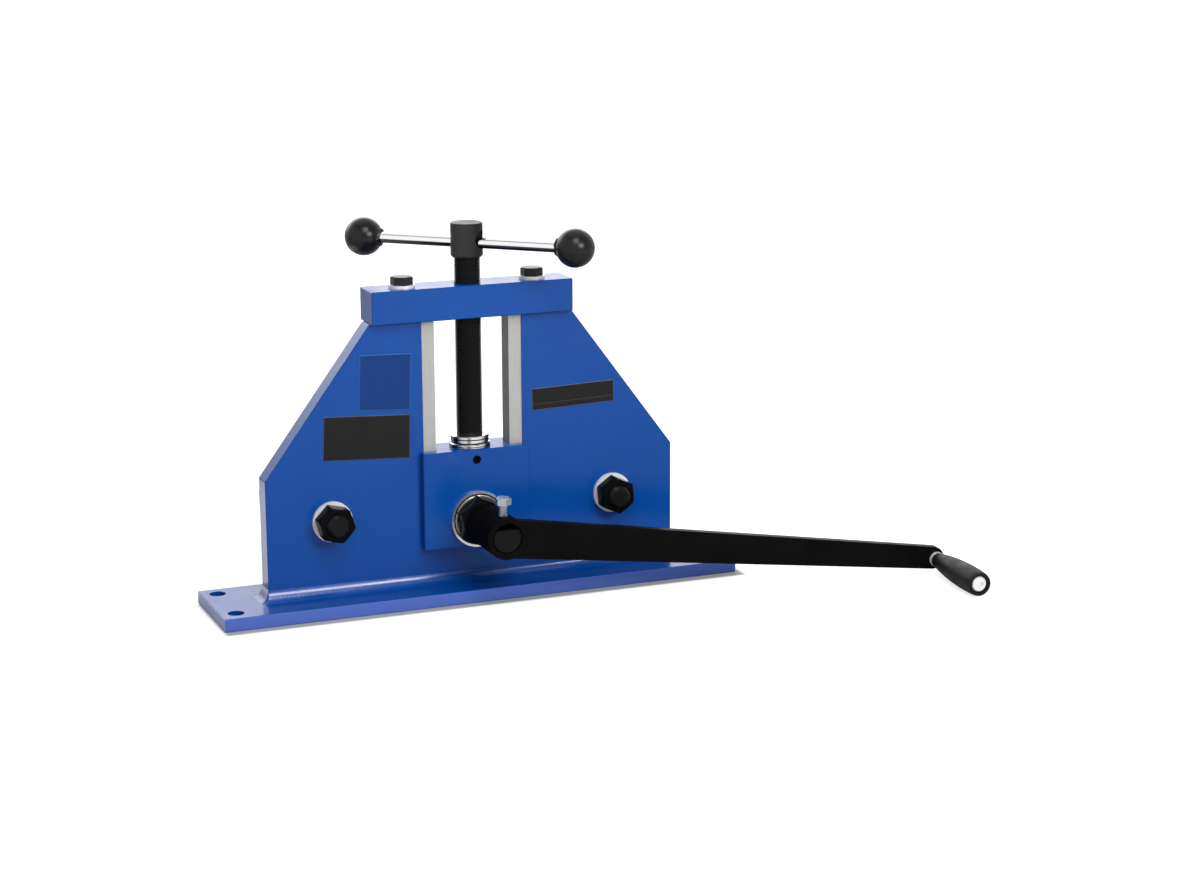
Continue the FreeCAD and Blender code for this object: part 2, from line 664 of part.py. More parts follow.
def make_block():
    """Slide block: a neck between the rails, with a flange in front and one behind."""
    body = new_body("slide_block")
    sketch = new_sketch(body, "XY_Plane", BLOCK_FLOOR)
    x = BLOCK_HALF
    y = BLOCK_FACE
    draw_outline(sketch, [("-" + x, "-" + y), (x, "-" + y), (x, y), ("-" + x, y)])
    pad(body, sketch, "sizes.block_height")
    break_edges(body)
    channels = new_sketch(body, "XY_Plane", BLOCK_TOP)
    near = "(sizes.window_width / 2 - sizes.slide_clear)"
    far = "(2 * %s)" % BLOCK_HALF
    y = "(%s + sizes.slide_clear)" % PLATE_FACE
    for sign in ("-", ""):
        corners = [(sign + near, "-" + y), (sign + far, "-" + y)]
        draw_outline(channels, corners + [(sign + far, y), (sign + near, y)])
    pocket(body, channels)
    bore = new_sketch(body, "XZ_Plane", BLOCK_FACE)
    radius = "sizes.shaft_dia / 2 + sizes.bush_clear + sizes.shaft_bush_wall"
    draw_circle(bore, "0", SHAFT_Z, radius)
    pocket(body, bore)
    well = new_sketch(body, "XY_Plane", BLOCK_TOP)
    draw_circle(well, "0", "0", "sizes.neck_dia / 2 + sizes.screw_clear")
    pocket(body, well, "sizes.neck_depth + sizes.screw_chamfer")
    tapped = new_sketch(body, "XZ_Plane", BLOCK_FACE)
    draw_circle(tapped, "0", LOCK_Z, "sizes.lock_screw_dia / 2")
    pocket(body, tapped, BLOCK_FACE)
    keep(body, "slide_block")


def make_block_bushes():
    """Two plain bushes pressed into the block from both faces."""
    inner = "(sizes.shaft_dia / 2 + sizes.bush_clear)"
    outer = "(%s + sizes.shaft_bush_wall)" % inner
    bushes = []
    for sign in (-1, 1):
        body = new_body("shaft_bush")
        face = "(%d * %s)" % (sign, BLOCK_FACE)
        inside = "(%s - %d * sizes.shaft_bush_length)" % (face, sign)
        turn(body, ring_points(inner, outer, face, inside))
        body.setExpression("Placement", place("0", "0", SHAFT_Z))
        bushes.append(body)
    group("shaft_bushes", bushes)


def make_lock_screw():
    """Socket set screw whose dog point runs in the groove of the screw's neck."""
    body = new_body("lock_screw")
    radius = "(sizes.lock_screw_dia / 2)"
    front = "-(%s - sizes.lock_screw_sink)" % BLOCK_FACE
    shoulder = "-(sizes.neck_dia / 2 + sizes.slide_clear)"
    tip = "-(sizes.neck_dia / 2 - sizes.lock_groove_depth + sizes.slide_clear)"
    dog = "(sizes.lock_tip_dia / 2)"
    outline = [("0", front), (radius, front), (radius, shoulder)]
    outline += [(dog, shoulder), (dog, tip), ("0", tip)]
    turn(body, outline)
    socket = new_sketch(body, "XZ_Plane", "-(%s)" % front)
    draw_outline(socket, hexagon("sizes.hex_socket"))
    pocket(body, socket, "sizes.hex_socket * 0.6")
    body.setExpression("Placement", place("0", "0", LOCK_Z))
    keep(body, "lock_screw")


def race_points(inner, outer, low, high):
    """The section of a bearing race, with its outer edges turned off."""
    rim = "(%s - sizes.race_chamfer)" % outer
    return [
        (inner, low),
        (rim, low),
        (outer, "(%s + sizes.race_chamfer)" % low),
        (outer, "(%s - sizes.race_chamfer)" % high),
        (rim, high),
        (inner, high),
    ]


def ball_track(name):
    """The torus that clears the balls."""
    track = doc.addObject("Part::Torus", name)
    track.setExpression("Radius1", BALL_RING)
    track.setExpression("Radius2", BALL_RADIUS + " + sizes.ball_clear")
    track.setExpression("Placement.Base.z", BALL_Z)
    return track


def make_bearing():
    """Thrust bearing on the block: two grooved races, a cage and its balls."""
    bore = "(sizes.neck_dia / 2 + sizes.slide_clear)"
    seat = "(sizes.race_outer / 2 + sizes.race_lip)"
    seat_top = "(%s + sizes.race_thick)" % BLOCK_TOP
    lower = new_body("lower_race")
    turn(lower, race_points(bore, seat, BLOCK_TOP, seat_top), "XZ_Plane")
    keep(cut("bearing_lower_race", lower, ball_track("lower_track")), "bearing_lower_race")
    upper = new_body("upper_race")
    low = "(%s - sizes.race_thick)" % BEARING_TOP
    neck = "(sizes.neck_dia / 2)"
    turn(upper, race_points(neck, "(sizes.race_outer / 2)", low, BEARING_TOP), "XZ_Plane")
    keep(cut("bearing_upper_race", upper, ball_track("upper_track")), "bearing_upper_race")
    balls = []
    rooms = []
    count = int(amount("sizes.ball_count"))
    for number in range(count):
        turned = "(%d * 360 / %d)" % (number, count)
        x = "%s * cos(%s)" % (BALL_RING, turned)
        y = "%s * sin(%s)" % (BALL_RING, turned)
        for name, grown, family in (("ball", "0", balls), ("ball_room", "0.05", rooms)):
            ball = doc.addObject("Part::Sphere", name)
            ball.setExpression("Radius", "%s + %s" % (BALL_RADIUS, grown))
            ball.setExpression("Placement", place(x, y, BALL_Z))
            family.append(ball)
    group("bearing_balls", balls)
    cage = new_body("cage_ring")
    low = "(%s + sizes.race_thick + sizes.cage_play)" % BLOCK_TOP
    high = "(%s - sizes.race_thick - sizes.cage_play)" % BEARING_TOP
    inner = "(%s - %s - sizes.cage_web)" % (BALL_RING, BALL_RADIUS)
    outer = "(%s + %s + sizes.cage_web)" % (BALL_RING, BALL_RADIUS)
    turn(cage, ring_points(inner, outer, low, high), "XZ_Plane")
    room = doc.addObject("Part::MultiFuse", "ball_rooms")
    room.Shapes = rooms
    keep(cut("bearing_cage", cage, room), "bearing_cage")


def make_press_screw():
    """Press screw: cross-drilled head, thread, and a grooved neck in the block."""
    body = new_body("screw_turned")
    thread = "(sizes.screw_dia / 2)"
    neck = "(sizes.neck_dia / 2)"
    head = "(%s + sizes.head_step)" % thread
    groove = "(%s - sizes.lock_groove_depth)" % neck
    bevel = "sizes.head_chamfer"
    lead = "sizes.screw_chamfer"
    foot = "(%s - sizes.neck_depth)" % BLOCK_TOP
    outline = [
        ("0", foot),
        ("%s - %s" % (neck, lead), foot),
        (neck, "(%s + %s)" % (foot, lead)),
        (neck, "(%s - sizes.lock_groove_width / 2)" % LOCK_Z),
        (groove, "(%s - sizes.lock_groove_width / 2)" % LOCK_Z),
        (groove, "(%s + sizes.lock_groove_width / 2)" % LOCK_Z),
        (neck, "(%s + sizes.lock_groove_width / 2)" % LOCK_Z),
        (neck, BEARING_TOP),
        ("%s - %s" % (thread, lead), BEARING_TOP),
        (thread, "(%s + %s)" % (BEARING_TOP, lead)),
        (thread, HEAD_FLOOR),
        ("%s - %s" % (head, bevel), HEAD_FLOOR),
        (head, "(%s + %s)" % (HEAD_FLOOR, bevel)),
        (head, "(%s - %s / 2)" % (HEAD_TOP, bevel)),
        ("%s - %s / 2" % (head, bevel), HEAD_TOP),
        ("0", HEAD_TOP),
    ]
    turn(body, outline, "XZ_Plane")
    drill = doc.addObject("Part::Cylinder", "tommy_hole")
    drill.setExpression("Radius", "sizes.tommy_hole_dia / 2")
    drill.setExpression("Height", "4 * " + head)
    lie = place("0", "0", "0", (0, 1, 0), "90")
    aim = place("0", "0", TOMMY_HOLE_Z, (0, 0, 1), "sizes.tommy_angle")
    start = place("0", "0", "-2 * " + head)
    drill.setExpression("Placement", "%s * %s * %s" % (aim, lie, start))
    keep(cut("press_screw", body, drill), "press_screw")


def make_tommy_bar():
    """Tommy bar that slides in the head, and its two ball knobs."""
    turned = place("0", "0", TOMMY_Z, (0, 0, 1), "sizes.tommy_angle")
    aim = "%s * %s" % (turned, place("sizes.tommy_shift"))
    half = "(sizes.tommy_span / 2)"
    ball = "(sizes.knob_dia / 2)"
    inside = "(%s - %s + sizes.knob_bore_depth)" % (half, ball)
    bar = doc.addObject("Part::Cylinder", "tommy_bar")
    bar.setExpression("Radius", "sizes.tommy_dia / 2")
    bar.setExpression("Height", "2 * " + inside)
    lie = place("-" + inside, "0", "0", (0, 1, 0), "90")
    bar.setExpression("Placement", "%s * %s" % (aim, lie))
    keep(bar, "tommy_bar")
    for side, sign in SIDES.items():
        sphere = doc.addObject("Part::Sphere", "knob_ball")
        sphere.setExpression("Radius", ball)
        collar = doc.addObject("Part::Cylinder", "knob_collar")
        collar.setExpression("Radius", "sizes.knob_collar_dia / 2")
        leaves = "sqrt(%s ^ 2 - (sizes.knob_collar_dia / 2) ^ 2)" % ball
        collar.setExpression("Height", leaves + " + sizes.knob_collar_stand")
        blank = doc.addObject("Part::Fuse", "knob_blank")
        blank.Base = sphere
        blank.Tool = collar
        bore = doc.addObject("Part::Cylinder", "knob_bore")
        bore.setExpression("Radius", "sizes.tommy_dia / 2")
        bore.setExpression("Height", "2 * sizes.knob_dia")
        bore.setExpression("Placement.Base.z", "%s - sizes.knob_bore_depth" % ball)
        knob = cut("knob_" + side, blank, bore)
        stand = place("%d * %s" % (sign, half), "0", "0", (0, 1, 0), "%d * 90" % -sign)
        knob.setExpression("Placement", "%s * %s" % (aim, stand))
        keep(knob, "knob_" + side)


def make_drive_shaft():
    """Drive shaft: flatted front end, thread, journal, collar and keyed rear end."""
    body = new_body("shaft_turned")
    thread = "(sizes.shaft_thread_dia / 2)"
    journal = "(sizes.shaft_dia / 2)"
    bevel = "sizes.thread_chamfer / 2"
    front = "-(%s - sizes.stub_recess)" % HUB_FACE
    thread_start = "-(%s - sizes.hub_gap / 2)" % HUB_BACK
    journal_start = "-(%s + sizes.end_play)" % BLOCK_FACE
    collar_start = "(%s + sizes.end_play)" % BLOCK_FACE
    tap = "(sizes.end_bolt_dia / 2)"
    tap_floor = "(%s - sizes.end_bolt_length - sizes.tap_run)" % ROLLER_END
    outline = [
        ("0", front),
        ("%s - %s" % (STUB_RADIUS, bevel), front),
        (STUB_RADIUS, "(%s + %s)" % (front, bevel)),
        (STUB_RADIUS, thread_start),
        (thread, thread_start),
        (thread, journal_start),
        (journal, journal_start),
        (journal, collar_start),
        ("sizes.shaft_collar_dia / 2", collar_start),
        ("sizes.shaft_collar_dia / 2", ROLLER_START),
        (journal, ROLLER_START),
        (journal, ROLLER_END),
        (tap, ROLLER_END),
        (tap, tap_floor),
        ("0", tap_floor),
    ]
    turn(body, outline)
    flat = new_sketch(body, "XZ_Plane", "-(%s)" % front)
    reach = "sizes.shaft_dia"
    corners = [("-" + reach, "sizes.flat_rise"), (reach, "sizes.flat_rise")]
    draw_outline(flat, corners + [(reach, reach), ("-" + reach, reach)])
    pocket(body, flat, "sizes.hub_length - sizes.stub_recess")
    seat = new_sketch(body, "XY_Plane", journal)
    x = "(sizes.key_width / 2)"
    start = "(%s + (%s - sizes.key_length) / 2)" % (ROLLER_START, ROLLER_WIDTH)
    end = "(%s + sizes.key_length)" % start
    draw_outline(seat, [("-" + x, start), (x, start), (x, end), ("-" + x, end)])
    pocket(body, seat, "sizes.key_sink")
    body.setExpression("Placement", place("0", "0", SHAFT_Z))
    keep(body, "drive_shaft")
    key = doc.addObject("Part::Box", "drive_key")
    key.setExpression("Length", "sizes.key_width")
    key.setExpression("Width", "sizes.key_length")
    key.setExpression("Height", "sizes.key_height")
    floor = "%s + %s - sizes.key_sink" % (SHAFT_Z, journal)
    key.setExpression("Placement", place("-" + x, start, floor))
    keep(key, "drive_key")


def make_drive_roller():
    """Drive roller: a keyed core with three discs, bolted to the shaft's end."""
    at = place("0", "0", SHAFT_Z)
    core = new_body("drive_core")
    radius = "(sizes.shaft_dia / 2)"
    turn(core, ring_points(radius, "sizes.core_dia / 2", ROLLER_START, ROLLER_END))
    slot = new_sketch(core, "XZ_Plane", "-" + ROLLER_START)
    x = "(sizes.key_width / 2)"
    top = "(%s - sizes.key_sink + sizes.key_height)" % radius
    draw_outline(slot, [("-" + x, "0"), (x, "0"), (x, top), ("-" + x, top)])
    pocket(core, slot)
    core.setExpression("Placement", at)
    keep(core, "drive_core")
    make_discs("drive", at)
    plain, bolt = end_fixing("drive_end", "0", ROLLER_END, SHAFT_Z)
    keep(plain, "drive_end_washer")
    keep(bolt, "drive_end_bolt")


def make_shaft_fastenings():
    """Thrust washer, lock washer and nut in front of the block."""
    thread = "sizes.shaft_thread_dia / 2"
    thick = "sizes.shaft_washer_thick"
    near = "-(%s + sizes.end_play)" % BLOCK_FACE
    at = place("0", near, SHAFT_Z)
    outer = "sizes.thrust_washer_dia / 2"
    keep(washer("thrust_washer", outer, thread, thick, at), "thrust_washer")
    at = place("0", "%s - %s" % (near, thick), SHAFT_Z)
    outer = "sizes.lock_washer_dia / 2"
    keep(washer("lock_washer", outer, thread, thick, at), "lock_washer")
    at = place("0", "-" + NUT_SEAT, SHAFT_Z, (0, 1, 0), "sizes.shaft_nut_angle")
    flats = "sizes.shaft_nut_flats"
    nut = hex_nut("shaft_nut", flats, "sizes.shaft_nut_height", thread, at)
    keep(nut, "shaft_nut")


def crank_place():
    """The crank's own frame: its arm lies along local X."""
    return place("0", "0", SHAFT_Z, (0, 1, 0), "sizes.arm_droop_angle")


def arm_place():
    """The arm's face in the crank's frame, leaning forward and a little rolled."""
    face = "-(%s - sizes.arm_setback)" % HUB_FACE
    lean = place("0", face, "0", (0, 0, 1), "-sizes.arm_lean_angle")
    return "%s * %s" % (lean, place("0", "0", "0", (1, 0, 0), "sizes.arm_roll_angle"))


def make_crank():
    """Crank: a hub with its set bolt, and a tapered flat arm coped onto it."""
    hub = new_body("crank_hub")
    bore = "(%s + sizes.hub_clear)" % STUB_RADIUS
    rim = "(sizes.hub_dia / 2)"
    bevel = "sizes.hub_chamfer"
    front = "-" + HUB_FACE
    back = "-" + HUB_BACK
    outline = [
        (bore, "(%s + %s)" % (front, bevel)),
        ("(%s + %s)" % (bore, bevel), front),
        ("(%s - %s / 2)" % (rim, bevel), front),
        (rim, "(%s + %s / 2)" % (front, bevel)),
        (rim, back),
        (bore, back),
    ]
    turn(hub, outline)
    bolt_y = "(%s + sizes.set_bolt_inset)" % front
    tapped = new_sketch(hub, "XY_Plane", rim)
    draw_circle(tapped, "0", bolt_y, "sizes.set_bolt_dia / 2")
    pocket(hub, tapped, rim)
    hub.setExpression("Placement", place("0", "0", SHAFT_Z))
    keep(hub, "crank_hub")
    head_z = "(%s + %s + sizes.set_bolt_stand)" % (SHAFT_Z, rim)
    length = "(%s + sizes.set_bolt_stand - sizes.flat_rise)" % rim
    at = place("0", bolt_y, head_z, (1, 0, 0), "-90")
    flats = "sizes.set_bolt_flats"
    radius = "(sizes.set_bolt_dia / 2)"
    bolt = hex_bolt("set_bolt", flats, "sizes.set_bolt_head", radius, length, at)
    keep(bolt, "set_bolt")


def make_arm():
    """Tapered flat arm with a rounded tip, coped round the hub."""
    bar = new_body("arm_bar")
    sketch = new_sketch(bar, "XZ_Plane")
    root = "(sizes.hub_dia / 2 - sizes.arm_root_inset)"
    tip = "(sizes.arm_tip_width / 2)"
    far = "(sizes.arm_length - sizes.arm_nose_back)"
    draw_outline(sketch, [("0", "-" + root), (far, "-" + tip), (far, tip), ("0", root)])
    pad(bar, sketch, "sizes.arm_thick", reverse=True)
    nose = doc.addObject("Part::Cylinder", "arm_nose")
    nose.setExpression("Radius", tip)
    nose.setExpression("Height", "sizes.arm_thick")
    nose.setExpression("Placement", place(far, "0", "0", (1, 0, 0), "-90"))
    blank = doc.addObject("Part::Fuse", "arm_blank")
    blank.Base = bar
    blank.Tool = nose
    blank.setExpression("Placement", arm_place())
    cope = doc.addObject("Part::Cylinder", "arm_cope")
    cope.setExpression("Radius", "sizes.hub_dia / 2")
    cope.setExpression("Height", "3 * sizes.hub_length")
    cope.setExpression("Placement", place("0", "-2 * " + HUB_FACE, "0", (1, 0, 0), "-90"))
    spindle_hole = doc.addObject("Part::Cylinder", "spindle_hole")
    spindle_hole.setExpression("Radius", "sizes.spindle_dia / 2")
    spindle_hole.setExpression("Height", "3 * sizes.arm_thick")
    stand = place("sizes.arm_length", "-sizes.arm_thick", "-sizes.spindle_drop", (1, 0, 0), "-90")
    spindle_hole.setExpression("Placement", "%s * %s" % (arm_place(), stand))
    tools = doc.addObject("Part::MultiFuse", "arm_cuts")
    tools.Shapes = [cope, spindle_hole]
    arm = cut("crank_arm", blank, tools)
    arm.setExpression("Placement", crank_place())
    keep(arm, "crank_arm")


def make_grip():
    """Hand grip on its spindle, with a washer between grip and arm."""
    stand = place("sizes.arm_length", "0", "-sizes.spindle_drop")
    at = "%s * %s * %s" % (crank_place(), arm_place(), stand)
    near = "sizes.grip_washer_thick"
    grip_start = "(%s + sizes.end_play)" % near
    grip_end = "(%s + sizes.grip_length)" % grip_start
    head = "(sizes.spindle_head_dia / 2)"
    head_end = "(%s - sizes.spindle_head_sink)" % grip_end
    head_start = "(%s - sizes.spindle_head_length)" % head_end
    rod = "(sizes.spindle_dia / 2)"
    spindle = new_body("grip_spindle")
    outline = [
        ("0", "sizes.arm_thick"),
        (rod, "sizes.arm_thick"),
        (rod, "-" + head_start),
        (head, "-" + head_start),
        (head, "-(%s - sizes.spindle_head_bevel)" % head_end),
        (head + " - sizes.spindle_head_bevel", "-" + head_end),
        ("0", "-" + head_end),
    ]
    turn(spindle, outline)
    spindle.setExpression("Placement", at)
    keep(spindle, "grip_spindle")
    plain = washer("grip_washer", "sizes.grip_washer_dia / 2", rod, near, at)
    keep(plain, "grip_washer")
    grip = new_body("hand_grip")
    bore = "(%s + sizes.grip_clear)" % rod
    recess = "(%s + sizes.grip_wall)" % head
    recess_floor = "-(%s - sizes.end_play)" % head_start
    full = "(sizes.grip_end_dia / 2)"
    round_start = "-(%s - sizes.grip_end_round)" % grip_end
    round_middle = "-(%s - sizes.grip_end_round / 2)" % grip_end
    round_width = "(%s - sizes.grip_end_fall / 4)" % full
    halfway = "-(%s + (sizes.grip_length - sizes.grip_end_round) / 2)" % grip_start
    root = "(sizes.grip_root_dia / 2)"
    belly = "((%s + %s) / 2 + sizes.grip_swell)" % (full, root)
    outline = [
        (bore, "-" + grip_start),
        (bore, recess_floor),
        (recess, recess_floor),
        (recess, "-" + grip_end),
        ("(%s - sizes.grip_end_fall)" % full, "-" + grip_end, round_width, round_middle),
        (full, round_start, belly, halfway),
        (root, "-" + grip_start),
    ]
    turn(grip, outline)
    grip.setExpression("Placement", at)
    keep(grip, "hand_grip")


def export():
    """Check every object and write each sub-part."""
    doc.recompute()
    for item in doc.Objects:
        failed = {"Invalid", "Error"} & set(item.State)
        if failed:
            raise RuntimeError("%s: %s" % (item.FullName, item.getStatusString()))
    for piece in pieces:
        if piece.Shape.isNull() or not piece.Shape.isValid():
            raise RuntimeError(piece.Label + " has no valid shape")
    os.makedirs("parts", exist_ok=True)
    for piece in pieces:
        piece.Shape.exportStep("parts/%s.step" % piece.Label)


make_base()
make_plate()
make_weld()
make_rails()
make_top_bar()
make_idle_side()
make_block()
make_block_bushes()
make_lock_screw()
make_bearing()
make_press_screw()
make_tommy_bar()
make_drive_shaft()
make_drive_roller()
make_shaft_fastenings()
make_crank()
make_arm()
make_grip()
export()
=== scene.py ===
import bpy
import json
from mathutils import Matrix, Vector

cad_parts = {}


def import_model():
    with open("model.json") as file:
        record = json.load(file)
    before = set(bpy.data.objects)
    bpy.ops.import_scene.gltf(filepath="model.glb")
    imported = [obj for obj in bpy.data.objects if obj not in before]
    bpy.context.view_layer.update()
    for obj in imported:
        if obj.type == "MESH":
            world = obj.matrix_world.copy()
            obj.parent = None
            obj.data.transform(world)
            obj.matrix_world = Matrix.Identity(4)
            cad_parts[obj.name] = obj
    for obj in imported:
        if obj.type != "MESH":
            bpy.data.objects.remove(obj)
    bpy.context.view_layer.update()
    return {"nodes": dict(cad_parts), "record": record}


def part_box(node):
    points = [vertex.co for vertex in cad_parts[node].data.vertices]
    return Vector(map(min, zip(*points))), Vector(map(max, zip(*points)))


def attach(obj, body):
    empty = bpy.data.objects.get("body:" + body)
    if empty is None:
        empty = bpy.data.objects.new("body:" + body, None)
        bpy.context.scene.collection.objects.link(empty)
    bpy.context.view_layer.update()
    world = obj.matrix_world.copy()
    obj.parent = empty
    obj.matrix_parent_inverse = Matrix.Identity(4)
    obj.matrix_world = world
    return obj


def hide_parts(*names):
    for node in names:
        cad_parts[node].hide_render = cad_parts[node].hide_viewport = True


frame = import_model()

import json
import math
import random

import bmesh
import bpy
from mathutils import Matrix, Vector

# Metres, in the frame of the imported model: +X along the foot, +Y to the rollers, +Z up.
MM = 0.001
NODES = frame["nodes"]

# Threads that show: radius over the crests, and pitch.
SCREW_THREAD = (12 * MM, 2 * MM)
AXLE_THREAD = (10 * MM, 2.5 * MM)
SET_BOLT_THREAD = (4 * MM, 1.25 * MM)

CREASE = 28                                      # degrees above which an edge shades sharp
RACE_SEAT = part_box("bearing_lower_race")[0].z    # where the thrust bearing stands on the block
RACE_LINE = 1.7 * MM                             # dark line painted round the lower race, above its seat
RACE_GROOVE = 8.2 * MM                           # groove round the upper race, above the same seat
RACE_RISE = 0.9 * MM                             # how much taller the upper race is than its solid


def middle(node):
    """The centre of a node's box."""
    low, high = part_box(node)
    return (low + high) / 2


# ---------------------------------------------------------------- shader nodes

class Graph:
    """Adds shader nodes to a tree. What they are fed is a constant or another node's output."""

    def __init__(self, tree):
        self.tree = tree

    def feed(self, socket, value):
        if isinstance(value, bpy.types.NodeSocket):
            self.tree.links.new(value, socket)
        elif isinstance(value, (tuple, list)) and socket.type == "RGBA":
            socket.default_value = (*value[:3], 1.0)
        else:
            socket.default_value = value

    def add(self, kind, **inputs):
        """A new node, with the named inputs fed."""
        node = self.tree.nodes.new("ShaderNode" + kind)
        for key, value in inputs.items():
            self.feed(node.inputs[key.replace("_", " ")], value)
        return node

    def math(self, operation, a, b=0.0):
        node = self.add("Math")
        node.operation = operation
        self.feed(node.inputs[0], a)
        self.feed(node.inputs[1], b)
        return node.outputs[0]

    def off(self, source, value):
        """How far source is from a value, to either side."""
        return self.math("ABSOLUTE", self.math("SUBTRACT", source, value))

    def spread(self, source, low, high, out_low, out_high):
        """Maps source's range low to high onto out_low to out_high, clamped."""
        node = self.add("MapRange", Value=source)
        for name, value in (("From Min", low), ("From Max", high), ("To Min", out_low), ("To Max", out_high)):
            node.inputs[name].default_value = value
        return node.outputs["Result"]

    def blend(self, fac, a, b):
        """A number between a and b."""
        node = self.add("Mix")
        for index, value in ((0, fac), (2, a), (3, b)):
            self.feed(node.inputs[index], value)
        return node.outputs[0]

    def mix(self, fac, a, b):
        """A colour between a and b."""
        node = self.add("Mix")
        node.data_type = "RGBA"
        self.feed(node.inputs["Factor"], fac)
        self.feed(node.inputs[6], a)
        self.feed(node.inputs[7], b)
        return node.outputs[2]

    def axis(self, source, letter):
        return self.add("SeparateXYZ", Vector=source).outputs[letter]


class Look(Graph):
    """A procedural material: a Principled shader and the nodes that feed it."""

    def __init__(self, name, **values):
        self.material = bpy.data.materials.new(name)
        self.material.use_nodes = True
        super().__init__(self.material.node_tree)
        self.shader = self.tree.nodes["Principled BSDF"]
        for key, value in values.items():
            self.set(key.replace("_", " "), value)
        self.place = self.add("TexCoord").outputs["Object"]
        self.normal = self.add("NewGeometry").outputs["Normal"]

    def set(self, name, value):
        """Puts a constant, or another node's output, on one of the shader's sockets."""
        sockets = {socket.name.lower(): socket for socket in self.shader.inputs}
        self.feed(sockets[name.lower()], value)

    def noise(self, scale, detail=3.0, roughness=0.5, stretch=(1.0, 1.0, 1.0)):
        scaled = self.add("Mapping", Vector=self.place)
        scaled.inputs["Scale"].default_value = stretch
        node = self.add("TexNoise", Vector=scaled.outputs["Vector"], Scale=scale, Detail=detail,
                        Roughness=roughness)
        return node.outputs["Fac"]

    def mottle(self, scale, low, high, detail=4.0, stretch=(1.0, 1.0, 1.0)):
        """Noise stretched to the whole range from low to high."""
        return self.spread(self.noise(scale, detail, 0.55, stretch), 0.3, 0.7, low, high)

    def uneven(self, scale, value):
        """A roughness that strays a little to both sides of its value."""
        return self.mottle(scale, value * 0.85, value * 1.2)

    def bump(self, height, distance, strength=1.0, painted_dark_underside=None):
        """Relief by shading, on top of the relief under it if there is one."""
        node = self.add("Bump", Height=height, Distance=distance, Strength=strength)
        if painted_dark_underside is not None:
            self.feed(node.inputs["Normal"], painted_dark_underside)
        return node.outputs["Normal"]

    def around(self, centre):
        """Distance from the axis along Y through centre."""
        squares = []
        for letter in "XZ":
            away = self.math("SUBTRACT", self.axis(self.place, letter), getattr(centre, letter.lower()))
            squares.append(self.math("MULTIPLY", away, away))
        return self.math("SQRT", self.math("ADD", *squares))


# ---------------------------------------------------------------- finishes

def grey(level):
    return (level, level, level)


SILVER = (0.86, 0.87, 0.89)
BLACK = (0.0105, 0.0105, 0.011)


def blue_paint(name, ior=1.33, corner=None, painted_light_faces=()):
    """Gloss paint sprayed over plate: slow shifts of tone, orange peel and faint waviness. On the faces
    in the planes through corner and its mirror image, and their edges, it is painted paler: painted light
    from the bright floor."""
    look = Look(name, ior=ior)
    tone = look.mix(look.mottle(9.0, 0.0, 1.0), (0.0004, 0.056, 0.292), (0.0012, 0.064, 0.325))
    # Painted light: the faces in these planes, with their edges, are made paler than the rest.
    for letter, pale in painted_light_faces:
        away = look.math("ABSOLUTE", look.axis(look.place, letter))
        plane = getattr(corner, letter.lower())
        on_painted_light_face = look.spread(away, plane - 0.6 * MM, plane - 0.3 * MM, 0.0, 1.0)
        tone = look.mix(on_painted_light_face, tone, pale)
    look.set("base color", tone)
    look.set("roughness", look.mottle(45.0, 0.18, 0.25, 5.0))
    wave = look.bump(look.noise(38.0, 2.0), 0.20 * MM, 0.22)
    look.set("normal", look.bump(look.noise(500.0, 2.0), 0.02 * MM, 0.03, wave))
    return look.material


def steel(name, tone, roughness, grain, stretch=(1.0, 1.0, 1.0), depth=0.02 * MM, tint=0.06):
    """Bare or plated metal: a grain in tone, polish and relief, drawn out along stretch."""
    look = Look(name, metallic=1.0)
    grit = look.noise(grain, 4.0, 0.6, stretch)
    dark = tuple(channel * (1.0 - tint) for channel in tone)
    light = tuple(min(1.0, channel * (1.0 + tint)) for channel in tone)
    look.set("base color", look.mix(look.spread(grit, 0.3, 0.7, 0.0, 1.0), dark, light))
    look.set("roughness", look.uneven(60.0, roughness))
    look.set("normal", look.bump(grit, depth, 0.4))
    return look


def dark_finish(name, tone, roughness, specular, grain=500.0, depth=0.03 * MM, peel=0.35):
    """Black oxide, satin paint or moulded plastic: near black, with a fine relief."""
    look = Look(name, specular_ior_level=specular)
    dark = tuple(channel * 0.75 for channel in tone)
    light = tuple(channel * 1.25 for channel in tone)
    look.set("base color", look.mix(look.mottle(30.0, 0.0, 1.0, 5.0), dark, light))
    look.set("roughness", look.uneven(80.0, roughness))
    look.set("normal", look.bump(look.noise(grain, 3.0), depth, peel))
    return look


def ground_steel():
    """Guide rails: faces to the front ground bright, the flanks painted dark: a painted reflection."""
    along_rail = (6.0, 6.0, 0.12)
    look = steel("ground_steel", (0.50, 0.50, 0.485), 0.38, 420.0, along_rail, tint=0.10)
    look.set("metallic", 0.2)
    # Painted reflection: the faces that turn to the sides are dark grey.
    flank_painted_dark = look.spread(look.math("ABSOLUTE", look.axis(look.normal, "X")), 0.5, 0.9, 0.0, 1.0)
    streak = look.mottle(300.0, 0.0, 1.0, 4.0, along_rail)
    face = look.mix(streak, (0.385, 0.382, 0.368), (0.46, 0.456, 0.443))
    look.set("base color", look.mix(flank_painted_dark, face, grey(0.085)))
    return look.material


def turning_marks(look, centre, pitch, depth):
    """Fine rings about an axle along Y, as a lathe leaves on a faced end."""
    rings = look.math("SINE", look.math("MULTIPLY", look.around(centre), 2 * math.pi / pitch))
    look.set("normal", look.bump(rings, depth, 0.6))
    return look.material


def turned_steel(group, centre):
    """Roller discs and cores: bright steel with the lathe's rings on their faces."""
    look = steel("roller_steel_" + group, (0.46, 0.46, 0.47), 0.26, 500.0)
    return turning_marks(look, centre, 0.5 * MM, 0.008 * MM)


def faced_oxide(side, centre):
    """Idle axles: black oxide over a faced end."""
    look = dark_finish("black_oxide_" + side, grey(0.005), 0.34, 0.14)
    return turning_marks(look, centre, 0.9 * MM, 0.012 * MM)


